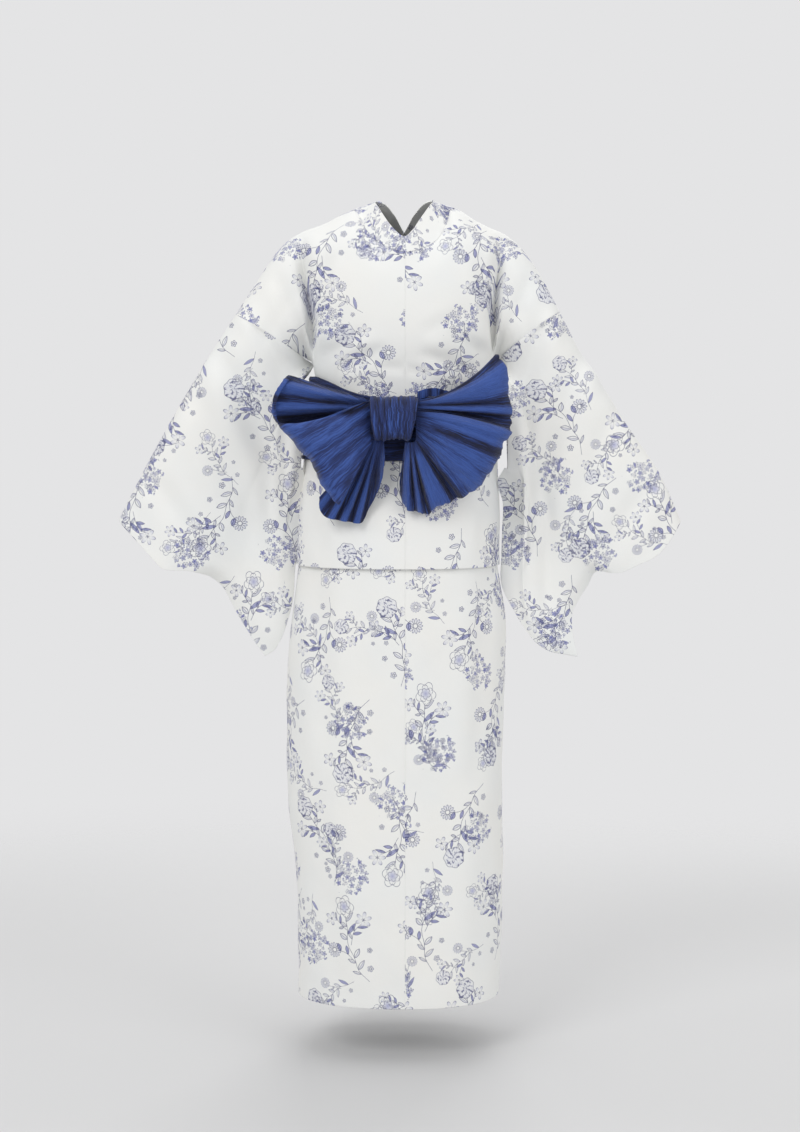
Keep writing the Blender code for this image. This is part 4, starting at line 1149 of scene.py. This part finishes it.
SMALL_BLOSSOMS = f"""
# small five-petalled blossoms, one in each cell whose middle lies within a rough round
spot = CombineXYZ.Vector X Y Seed
near = TexVoronoi.Position spot - 1.12
cx = SeparateXYZ.X near
cy = SeparateXYZ.Y near
rr = MULTIPLY cx cx
rr = MULTIPLY_ADD cy cy rr
far = SQRT rr
uneven = TexNoise.Fac near - 0.33
uneven = MULTIPLY_ADD uneven 1.9 0.05
uneven = MULTIPLY uneven Radius
within = LESS_THAN far uneven
chance = TexWhiteNoise.Value near
X = SUBTRACT X cx
Y = SUBTRACT Y cy
{POLAR}
wave = MULTIPLY turn 5.0
wave = MULTIPLY_ADD chance 9.0 wave
wave = SINE wave
reach = MULTIPLY_ADD wave 0.11 0.33
rim = SUBTRACT r reach
inside = LESS_THAN rim 0.0
inside = MULTIPLY inside within
edge = COMPARE rim 0.0 {0.9 * LINE}
heart = LESS_THAN r 0.09
edge = MAXIMUM edge heart
Line = MULTIPLY edge within
deep = MULTIPLY chance chance
deep = MULTIPLY_ADD deep 1.25 0.06
Tint = MULTIPLY deep inside
"""
CLUSTER = motif("Cluster of small blossoms", ("X", "Y", "Radius", "Seed"), SMALL_BLOSSOMS)

# %% [markdown]
# One spray joins three stems and four blossoms. Its rows give where each starts, which way it turns and how
# long it is. The cloth is then shared out in cells, and each cell turns its spray another way.

# %% One spray
SPRAY_STEMS = (
    # start x, start y, turn in degrees, length, bend, leaf length
    (-7.3, 0.0, 0, 11.4, 0.036, 2.05),
    (-3.6, 0.8, 44, 3.7, -0.060, 1.45),
    (-0.6, 0.9, -46, 3.9, 0.060, 1.40),
    (1.9, 0.5, 38, 2.7, 0.070, 1.15),
)
SPRAY_DAISIES = (
    # x, y, radius, petals, notch, heart; a deep notch makes a fan of pointed leaves
    (-0.7, 4.1, 1.20, 13.0, 1.2, 0.30),
    (2.6, -2.6, 1.35, 6.0, 3.7, 0.06),
    (4.3, 2.9, 1.10, 5.0, 3.7, 0.06),
    (-5.3, -1.0, 0.50, 5.0, 1.6, 0.34),
    (-2.4, -1.9, 0.42, 5.0, 1.6, 0.34),
)
SPRAY_TIP = (5.6, 0.0)  # x, y of the blossom at the tip of the main stem
OVERLAY = """
    line = MAXIMUM line more
    tint = MAXIMUM tint more_tint
"""


def moved(tree, place, x0, y0, turn=None):
    """A place as seen from a motif's own start and, where a turn is given in degrees, its own direction."""
    known = work_out(tree, {"x": place[0], "y": place[1]}, f"""
        x = SUBTRACT x {x0}
        y = SUBTRACT y {y0}
    """)
    if turn is not None:
        c, s = math.cos(math.radians(turn)), math.sin(math.radians(turn))
        work_out(tree, known, f"""
            part = MULTIPLY y {s}
            ahead = MULTIPLY_ADD x {c} part
            part = MULTIPLY y {c}
            y = MULTIPLY_ADD x {-s} part
        """)
        return known["ahead"], known["y"]
    return known["x"], known["y"]


def drawn(tree, group, place, sizes):
    """Line and tint of one motif, given its place and the sizes that its group takes, in their order."""
    return add(tree, "Group", (*place, *sizes), node_tree=group).outputs[:]


def spray(tree, place, chance, seed):
    """Line and tint of one spray round the origin. Chance picks the blossom at the tip of the main stem."""
    parts = []
    for n, (x0, y0, turn, *sizes) in enumerate(SPRAY_STEMS):
        parts.append(drawn(tree, STEM, moved(tree, place, x0, y0, turn), (*sizes, seed + 3.1 * n)))
    for x0, y0, *sizes in SPRAY_DAISIES:
        parts.append(drawn(tree, DAISY, moved(tree, place, x0, y0), sizes))
    tip = moved(tree, place, *SPRAY_TIP)
    known = {"pick": chance}
    known["ball"], known["ball_tint"] = drawn(tree, BALL, tip, (1.65,))
    known["cup"], known["cup_tint"] = drawn(tree, CUP, tip, (1.95,))
    work_out(tree, known, """
        is_ball = LESS_THAN pick 0.5
        is_cup = SUBTRACT 1.0 is_ball
        ball = MULTIPLY ball is_ball
        line = MULTIPLY_ADD cup is_cup ball
        ball_tint = MULTIPLY ball_tint is_ball
        tint = MULTIPLY_ADD cup_tint is_cup ball_tint
    """)
    for known["more"], known["more_tint"] in parts:
        work_out(tree, known, OVERLAY)
    return known["line"], known["tint"]


def cells(tree, wide, high, shift, seed, sway):
    """Shares the cloth out in staggered cells: the place in a cell, roughly upright, and three chances."""
    flat = add(tree, "SeparateXYZ", [add(tree, "UVMap", uv_map="cloth").outputs[0]])
    known = work_out(tree, {"u": flat.outputs[0], "v": flat.outputs[1]}, f"""
        down = MULTIPLY_ADD v {100.0 / high} {shift + 40.0}
        row = FLOOR down
        y = SUBTRACT down row
        y = MULTIPLY_ADD y {high} {-high / 2}
        odd = MULTIPLY row 0.5
        odd = FRACT odd
        over = MULTIPLY_ADD u {100.0 / wide} odd
        over = ADD over {shift + 40.0}
        column = FLOOR over
        x = SUBTRACT over column
        x = MULTIPLY_ADD x {wide} {-wide / 2}
        key = CombineXYZ.Vector column row {seed}
        rolls = TexWhiteNoise.Color key
    """)
    rolls = add(tree, "SeparateColor", [known["rolls"]]).outputs
    known.update({"first": rolls[0], "second": rolls[1]})
    work_out(tree, known, f"""
        up = SUBTRACT first 0.5
        end = SIGN up
        angle = MULTIPLY end {math.pi / 2}
        angle = MULTIPLY_ADD up {sway} angle
        c = COSINE angle
        s = SINE angle
        part = MULTIPLY y s
        across = MULTIPLY_ADD x c part
        part = MULTIPLY x s
        part = MULTIPLY part -1.0
        along = MULTIPLY_ADD y c part
        flip = SUBTRACT second 0.5
        flip = SIGN flip
        along = MULTIPLY along flip
    """)
    return (known["across"], known["along"]), rolls


print("spray:", len(SPRAY_STEMS), "stems and", len(SPRAY_DAISIES) + 1, "blossoms")

# %% [markdown]
# Printed cotton is a plain weave of fine yarn with a matt face. It shows a clean white that drifts at random
# between cool and warm, blue lines, and no shine. Its yarns lie about 0.4 mm apart, too fine to show, so the
# weave is drawn three times as coarse.

# %% Printed cotton
COTTON_PRINT = bpy.data.materials.new("Printed plain-weave cotton")
COTTON_PRINT.use_nodes = True
tree = COTTON_PRINT.node_tree
skin = tree.nodes["Principled BSDF"]
LAYERS = (
    # cell width, cell height in cm, shift, seed, sway, size of the spray, share of cells with one
    (12.4, 15.6, 0.00, 1.7, 1.3, 0.96, 1.00),
    (10.9, 11.6, 0.37, 5.3, 3.4, 0.68, 0.75),
    (13.7, 12.1, 0.61, 8.9, 6.0, 0.00, 0.62),
)
CLUSTER_RADIUS = 2.6
ink = {}
for wide, high, shift, seed, sway, size, share in LAYERS:
    (x, y), rolls = cells(tree, wide, high, shift, seed, sway)
    known = work_out(tree, {"roll": rolls[2]}, f"there = LESS_THAN roll {share}")
    if size:
        sized = work_out(tree, {"x": x, "y": y}, f"""
            x = DIVIDE x {size}
            y = DIVIDE y {size}
        """)
        known["line"], known["tint"] = spray(tree, (sized["x"], sized["y"]), rolls[1], seed)
    else:
        known["line"], known["tint"] = drawn(tree, CLUSTER, (x, y), (CLUSTER_RADIUS, seed))
    work_out(tree, known, """
        line = MULTIPLY line there
        tint = MULTIPLY tint there
    """)
    if ink:
        known["more"], known["more_tint"] = ink["line"], ink["tint"]
        work_out(tree, known, OVERLAY)
    ink = known
place = add(tree, "TexCoord").outputs["Object"]
mottle = add(tree, "TexNoise", {"Vector": place, "Scale": 9.0, "Detail": 3.0}).outputs["Fac"]
white = add(tree, "Mix", {0: mottle, 6: srgb("#f1f4f4"), 7: srgb("#f9f7f1")}, data_type="RGBA").outputs[2]
depth = add(tree, "Math", (ink["tint"], 0.62), operation="MULTIPLY").outputs[0]
washed = add(tree, "Mix", {0: depth, 6: white, 7: srgb("#6d74bd")}, data_type="RGBA").outputs[2]
firm = add(tree, "Math", (ink["line"], 0.92), operation="MULTIPLY").outputs[0]
inked = add(tree, "Mix", {0: firm, 6: washed, 7: srgb("#34396f")}, data_type="RGBA").outputs[2]
tree.links.new(inked, skin.inputs["Base Color"])
skin.inputs["Roughness"].default_value = 0.82
skin.inputs["Specular IOR Level"].default_value = 0.25
YARN = 0.0012  # drawn spacing of the yarns in metres
flat = add(tree, "UVMap", uv_map="cloth").outputs[0]
warp = add(tree, "Mapping", {"Vector": flat, "Scale": (1 / YARN, 0.16 / YARN, 1.0)}).outputs[0]
weft = add(tree, "Mapping", {"Vector": flat, "Scale": (0.16 / YARN, 1 / YARN, 1.0)}).outputs[0]
warp = add(tree, "TexNoise", {"Vector": warp, "Scale": 1.0, "Detail": 1.0}).outputs["Fac"]
weft = add(tree, "TexNoise", {"Vector": weft, "Scale": 1.0, "Detail": 1.0}).outputs["Fac"]
weave = add(tree, "Math", (warp, weft), operation="ADD").outputs[0]
soft = add(tree, "TexNoise", {"Vector": place, "Scale": 42.0, "Detail": 3.0}).outputs["Fac"]
rumple = add(tree, "Bump", {"Height": soft, "Strength": 0.30, "Distance": 0.0016}).outputs[0]
woven = {"Height": weave, "Strength": 0.22, "Distance": 0.0005, "Normal": rumple}
woven = add(tree, "Bump", woven).outputs[0]
tree.links.new(woven, skin.inputs["Normal"])
print("cotton nodes:", len(tree.nodes))

# %% [markdown]
# The sash is a light cloth with pressed creases that run along its length. One stretched noise drives both
# the height of the creases and a painted shade in their colour: lighter on the ridges, darker in the furrows.

# %% Crinkled sash cloth
NAVY = bpy.data.materials.new("Crinkled sash cloth, dyed navy")
NAVY.use_nodes = True
tree = NAVY.node_tree
skin = tree.nodes["Principled BSDF"]
CREASE = 0.0040  # spacing of the pressed creases in metres
flat = add(tree, "UVMap", uv_map="cloth").outputs[0]
bent = add(tree, "TexNoise", {"Vector": flat, "Scale": 38.0, "Detail": 2.0}).outputs["Color"]
bent = add(tree, "VectorMath", (bent, (0.5, 0.5, 0.5)), operation="SUBTRACT").outputs[0]
bent = add(tree, "VectorMath", (bent, (0.006, 0.006, 0.0), flat), operation="MULTIPLY_ADD").outputs[0]
along = add(tree, "Mapping", {"Vector": bent, "Scale": (1 / CREASE, 0.055 / CREASE, 1.0)}).outputs[0]
pressed = {"Vector": along, "Scale": 1.0, "Detail": 4.0, "Roughness": 0.6}
pressed = add(tree, "TexNoise", pressed).outputs["Fac"]
sharp = add(tree, "Math", (pressed, 0.5), operation="SUBTRACT").outputs[0]
sharp = add(tree, "Math", (sharp,), operation="ABSOLUTE").outputs[0]
sharp = add(tree, "Math", (sharp, 4.0), operation="MULTIPLY").outputs[0]
# The crinkle's height, also painted into the colour as shade: lighter on the ridges, darker in the furrows
crinkle_and_shade = add(tree, "Math", (pressed, sharp), operation="ADD").outputs[0]
# Painted shade from each sheet's attribute: it darkens the pleats' hollows, the folds' furrows and the belt
# under the knot
low = add(tree, "Attribute", attribute_name="painted_shade").outputs["Fac"]
lit = add(tree, "Math", (low, -0.34, crinkle_and_shade), operation="MULTIPLY_ADD").outputs[0]
# The ramp turns the painted light and shade into navy: near black in painted shade, light blue on painted
# highlights
tone = add(tree, "ValToRGB", {"Fac": lit})
tone.color_ramp.elements[0].position, tone.color_ramp.elements[0].color = 0.26, srgb("#0c1233")
tone.color_ramp.elements[1].position, tone.color_ramp.elements[1].color = 1.06, srgb("#3a59a4")
middle = tone.color_ramp.elements.new(0.70)
middle.color = srgb("#243976")
tree.links.new(tone.outputs[0], skin.inputs["Base Color"])
skin.inputs["Roughness"].default_value = 0.62
skin.inputs["Specular IOR Level"].default_value = 0.35
skin.inputs["Sheen Weight"].default_value = 0.12
skin.inputs["Sheen Roughness"].default_value = 0.5
grain = add(tree, "Bump", {"Height": crinkle_and_shade, "Strength": 0.75, "Distance": 0.0016}).outputs[0]
tree.links.new(grain, skin.inputs["Normal"])
print("sash nodes:", len(tree.nodes))

# %% [markdown]
# The robe's panels. Left and right are the same cut, but each is shaped on its own side of the figure,
# because worn cloth is never even.

# %% Back and front panels
STEP = 0.0065  # distance between the points of a fine grid
SIDES = [(side, word, front, place) for side, word in ((-1, "left"), (1, "right"))
         for front, place in ((False, "back"), (True, "front"))]
for side, word, front, place in SIDES:
    grid = refined(upper_panel(side, front)[0], STEP)
    fade = edge_fade(grid.shape[:2], (8, 6), (6, 8))
    grid = settled(grid, outward(grid), "back", front, 0.0005, 3, fade)
    sheet(
        f"{place}_panel_{word}", grid, shoulder_map(grid), COTTON_PRINT, COTTON_SHEET,
        (0.30, 0.34) if front else (0.29, 0.34), [f"{place}_{word}"],
        offset=(0.31 * side + 0.83 * front, 0.17),
    )

# %% Waist tuck, skirt and gores
SKIRTS = (
    # name, seams at the start and the end, columns, rows, gap outside the body, flat size, folds
    ("tuck_back_left", "back", "left side", 12, TUCK_ROWS, tuck_out, (0.26, 0.215), "tuck"),
    ("tuck_back_right", "back", "right side", 12, TUCK_ROWS, tuck_out, (0.26, 0.215), "tuck"),
    ("tuck_front", "left side", "far side", 17, TUCK_ROWS, tuck_out, (0.34, 0.215), "tuck"),
    ("skirt_back_left", "back", "left side", 11, SKIRT_ROWS, close, (0.28, 0.91), "skirt"),
    ("skirt_back_right", "back", "right side", 11, SKIRT_ROWS, close, (0.28, 0.91), "skirt"),
    ("skirt_front_left", "left side", "over gore", 12, SKIRT_ROWS, over_out, (0.24, 0.91), "skirt"),
    ("skirt_front_right", "right side", "under gore", 10, SKIRT_ROWS, close, (0.20, 0.91), "skirt"),
    ("gore_left", "over gore", "over end", 9, SKIRT_ROWS, over_out, (0.15, 0.91), ""),
    ("gore_right", "under gore", "under end", 6, SKIRT_ROWS, close, (0.13, 0.91), ""),
)
SEAMS = {
    # share of the girth at a height; past -1 or 1 it runs on to the other side
    "back": lambda z: 0.0,
    "left side": lambda z: -side_seam(z),
    "right side": side_seam,
    "far side": lambda z: -2 + side_seam(z),
    "over gore": lambda z: -2 + GORE_SEAM,
    "over end": lambda z: -2 + OVER_END,
    "under gore": lambda z: 2 - GORE_SEAM,
    "under end": lambda z: 2 - UNDER_END,
}
for n, (name, start, end, columns, rows, gap, flat, folds) in enumerate(SKIRTS):
    grid = refined(skirt_panel(SEAMS[start], SEAMS[end], columns, rows, gap), STEP * 1.25)
    fade = edge_fade(grid.shape[:2], (6, 6)) * (1.0 if folds else 0.4)
    grid = settled(grid, outward(grid), folds, "front" in name, 0.0006, 7, fade)
    grid = hemmed(grid, outward(grid), HEM_DEPTH)
    sheet(
        name + "_cloth", grid, hung_map(grid), COTTON_PRINT, COTTON_SHEET, flat, [name],
        offset=(1.37 * n, 0.29 * n),
    )

# %% Sleeves
for side, word, front, place in SIDES:
    grid = refined(sleeve_wall(side, front), STEP)
    normal = across_cloth(grid)
    normal *= 1.0 if (normal[..., 1].sum() > 0) == front else -1.0
    fade = edge_fade(grid.shape[:2], (6, 0), (6, 9))
    grid = settled(grid, normal, "sleeve", front, 0.0007, 11, fade)
    sheet(
        f"sleeve_{word}_{place}_cloth", grid, grid[..., [0, 2]], COTTON_PRINT, COTTON_SHEET, (0.33, 0.44),
        [f"sleeve_{word}_{place}"], offset=(0.57 * side, 0.41 + 0.77 * front),
    )

# %% Collar
grid = refined(collar(), STEP * 0.8)
sheet(
    "collar_band", grid, ribbon_map(grid), COTTON_PRINT, COLLAR_SHEET, (0.90, 0.05), ["collar"],
    offset=(0.4, 0.7),
)

# %% [markdown]
# The sash was folded lengthwise again and again before it was tied, so every piece of it is pleated. Each
# pleat is a ridge across the grid, with its own width and height, and it fades where the cloth is held.

# %% Pleats of the sash
def pleats(count, at, seed):
    """Heights of a row of unlike pleats, from -1 to 1, at places from 0 to 1 across the cloth."""
    rng = np.random.default_rng(seed)
    edges = np.cumsum(rng.uniform(0.45, 1.55, count + 1))
    edges = (edges - edges[0]) / (edges[-1] - edges[0])
    tall = rng.uniform(0.45, 1.0, count)
    which = np.clip(np.searchsorted(edges, at, side="right") - 1, 0, count - 1)
    share = (at - edges[which]) / (edges[which + 1] - edges[which])
    lean = rng.uniform(0.30, 0.70, count)[which]
    rise = np.where(share < lean, share / lean, (1 - share) / (1 - lean))
    return tall[which] * (2 * np.clip(rise, 0, 1) ** 0.8 - 1)


def pleated(grid, rows, depth, fade):
    """The grid with pleats that run along its rays. Rows are (count, share of the depth, seed)."""
    places = np.linspace(0.0, 1.0, grid.shape[0])[:, None]
    shape = np.zeros(grid.shape[:2])
    sway = 0.35 * np.sin(np.linspace(0.0, 5.0, grid.shape[1]))[None, :]
    for count, share, seed in rows:
        shape += share * pleats(count, np.clip(places + sway / count * 0.5, 0.0, 1.0), seed)
    return grid + across_cloth(grid) * (depth * shape * fade)[..., None]


print("a row of pleats:", pleats(4, np.linspace(0.0, 1.0, 5), 1).round(2))


# %% Belt
grid = refined(belt(), 0.004, closed=True)
height = np.linspace(0.0, 1.0, grid.shape[1])[None, :]
round_it = np.linspace(0.0, 1.0, grid.shape[0])[:, None]
sway = 0.018 * np.sin(2 * np.pi * (2 * round_it + 0.1)) + 0.010 * np.sin(2 * np.pi * (5 * round_it + 0.3))
folds = pleats(9, np.clip(height + sway, 0.0, 1.0), 5) + 0.5 * pleats(23, np.clip(height - sway, 0.0, 1.0), 8)
grid = grid + outward(grid, closed=True) * (0.0011 * folds)[..., None]
# Painted shade on the belt: lighter on its folds' ridges, darker in their furrows, and dark all over as a
# painted shadow of the knot and bow
sheet(
    "belt_cloth", grid, ribbon_map(grid, turned=True), NAVY, SASH_SHEET, (0.86, 0.125),
    ["sash_belt"], closed=True, painted_shade=0.85 - 0.5 * folds,
)

# %% Bow halves, end and tuft
BOWS = (
    # name, coarse grid, flat size, pleats as (count, share, seed), depth
    ("bow_right", bow_right(), (0.30, 0.28), ((13, 0.9, 3), (34, 0.5, 4), (71, 0.22, 9)), 0.0026),
    ("bow_left", bow_left(), (0.20, 0.20), ((7, 0.5, 5), (23, 0.5, 6), (53, 0.30, 7)), 0.0019),
    ("bow_tail", bow_tail(), (0.10, 0.12), ((9, 0.5, 2), (24, 0.3, 1)), 0.0014),
    ("bow_tuft", bow_tuft(), (0.06, 0.013), ((9, 0.5, 2),), 0.0009),
)
KNOT_LEFT = (-0.050, -0.316)  # where the left wing's creases meet, x and z
FAR_RIGHT = (0.105, -0.215)  # where those of the left flap would meet, far beyond the knot
for n, (name, coarse, flat, rows, depth) in enumerate(BOWS):
    grid = refined(coarse, 0.0028)
    out = np.linspace(0.0, 1.0, grid.shape[1])[None, :]
    round_rim = np.linspace(0.0, 1.0, grid.shape[0])[:, None]
    if name == "bow_left":
        flap = ease((round_rim - 0.30) / 0.06)[..., None]
        drawn_out = ray_map(grid, KNOT_LEFT) * (1 - flap) + ray_map(grid, FAR_RIGHT) * flap
        turned = drawn_out[..., 0] - drawn_out[..., 0].min()
        folds = sum(share * pleats(count, turned / turned.max(), seed) for count, share, seed in rows)
        grid = grid + across_cloth(grid) * (depth * folds)[..., None]
    else:
        fade = ease(out / 0.25) * 0.75 + 0.25
        if name == "bow_right":
            fade = fade * (0.25 + 0.75 * ease((1.0 - out) / 0.25))
        grid = pleated(grid, rows, depth, fade)
        drawn_out = ribbon_map(grid)
    # Painted shade in the pleats' hollows, darker where a point lies further back than its neighbours; the
    # left half is painted lighter overall
    sheet(
        name + "_cloth", grid, drawn_out, NAVY, SASH_SHEET, flat, [name],
        offset=(0.7 * n, 0.3 * n), painted_shade=0.55 * hollows(grid, 9) + (-0.08 if name == "bow_left" else 0.26),
    )

# %% Knot
def knot_wrap():
    """The wrap round the knot as a closed grid: columns go round, rows run along the sash."""
    y0, z0 = KNOT_CENTRE
    grid = np.zeros((48, len(KNOT), 3))
    for i in range(48):
        c, s = math.cos(2 * math.pi * i / 48), math.sin(2 * math.pi * i / 48)
        for k, (x, high, deep) in enumerate(KNOT):
            y = y0 + deep * math.copysign(abs(c) ** 0.8, c)
            narrow = (0.10 * s - 0.07 * max(0.0, -s)) * (x + 0.018) + 0.0015 * s
            wavy = 1 + 0.035 * math.sin(260 * x + 0.8) * s
            grid[i, k] = (x + narrow, y, z0 + high * wavy * math.copysign(abs(s) ** 0.8, s))
    return grid


grid = refined(knot_wrap(), 0.0014, closed=True)
beside = np.linspace(0.0, 1.0, grid.shape[1])[None, :]
turn = np.linspace(0.0, 2 * np.pi, grid.shape[0])[:, None]
sway = 0.035 * np.sin(turn + 0.6) + 0.012 * np.sin(3 * turn)
folds = pleats(7, np.clip(beside + sway, 0.0, 1.0), 12)
folds = folds + 0.4 * pleats(19, np.clip(beside - 0.6 * sway, 0.0, 1.0), 3)
folds = folds * np.sin(np.pi * beside) ** 0.3
grid = grid + outward(grid, (-0.018, KNOT_CENTRE[0]), closed=True) * (0.0019 * folds)[..., None]
# Painted shade on the knot: lighter on its pleats' ridges, darker in their furrows and a little darker
# overall
sheet(
    "knot_cloth", grid, ribbon_map(grid, turned=True), NAVY, SASH_SHEET, (0.19, 0.075),
    ["sash_knot"], closed=True, painted_shade=0.60 - 0.8 * folds,
)

# %% [markdown]
# A plain pale floor and large soft lights show cloth best: wide lights have no hard shadows, so the folds
# read by gentle shading alone.

# %% Floor and light
ground = bmesh.new()
bmesh.ops.create_circle(ground, cap_ends=True, radius=6.0, segments=96)
bmesh.ops.translate(ground, verts=ground.verts, vec=(0.0, 0.0, FLOOR))
mesh = bpy.data.meshes.new("Studio floor")
ground.to_mesh(mesh)
ground.free()
floor = bpy.data.objects.new("Studio floor", mesh)
bpy.context.scene.collection.objects.link(floor)
PALE = bpy.data.materials.new("Matt studio floor")
PALE.use_nodes = True
tree = PALE.node_tree
skin = tree.nodes["Principled BSDF"]
skin.inputs["Base Color"].default_value = srgb("#d8d8d8")
skin.inputs["Roughness"].default_value = 0.9
away = add(tree, "VectorMath", [add(tree, "TexCoord").outputs["Object"]], operation="LENGTH").outputs["Value"]
fade = {"Value": away, "From Min": 1.6, "From Max": 2.7}
fade = add(tree, "MapRange", fade, interpolation_type="SMOOTHSTEP").outputs[0]
clear = add(tree, "BsdfTransparent").outputs[0]
faded = add(tree, "MixShader", (fade, skin.outputs[0], clear)).outputs[0]
tree.links.new(faded, tree.nodes["Material Output"].inputs["Surface"])
mesh.materials.append(PALE)

world = bpy.data.worlds.new("Studio air")
bpy.context.scene.world = world
world.use_nodes = True
air = world.node_tree
seen = add(air, "LightPath").outputs["Is Camera Ray"]
glow = add(air, "Mix", {"Factor": seen, "A": 0.76, "B": 1.0}, data_type="FLOAT").outputs[0]
air.nodes["Background"].inputs["Color"].default_value = srgb("#e4e4e5")
air.links.new(glow, air.nodes["Background"].inputs["Strength"])
LIGHTS = (
    # name, place, aimed at, width, power
    ("Key", (-2.2, -3.4, 2.2), (0.0, 0.0, -0.5), 2.2, 66.0),
    ("Fill", (2.8, -2.8, 0.6), (0.0, 0.0, -0.6), 2.4, 28.0),
    ("Top", (0.0, 0.4, 3.0), (0.0, 0.0, -0.4), 2.6, 21.0),
    ("Far side", (0.6, 3.6, 1.2), (0.0, 0.0, -0.5), 2.4, 50.0),
)
for name, place, aim, wide, power in LIGHTS:
    lamp = bpy.data.lights.new(name, "AREA")
    lamp.size = wide
    lamp.energy = power
    holder = bpy.data.objects.new(name, lamp)
    way = np.array(aim) - np.array(place)
    holder.location = place
    down = math.acos(-way[2] / np.linalg.norm(way))
    holder.rotation_euler = (down, 0.0, math.atan2(way[1], way[0]) - math.pi / 2)
    bpy.context.scene.collection.objects.link(holder)
bpy.context.scene.view_settings.view_transform = "Standard"
print("lights:", len(LIGHTS))
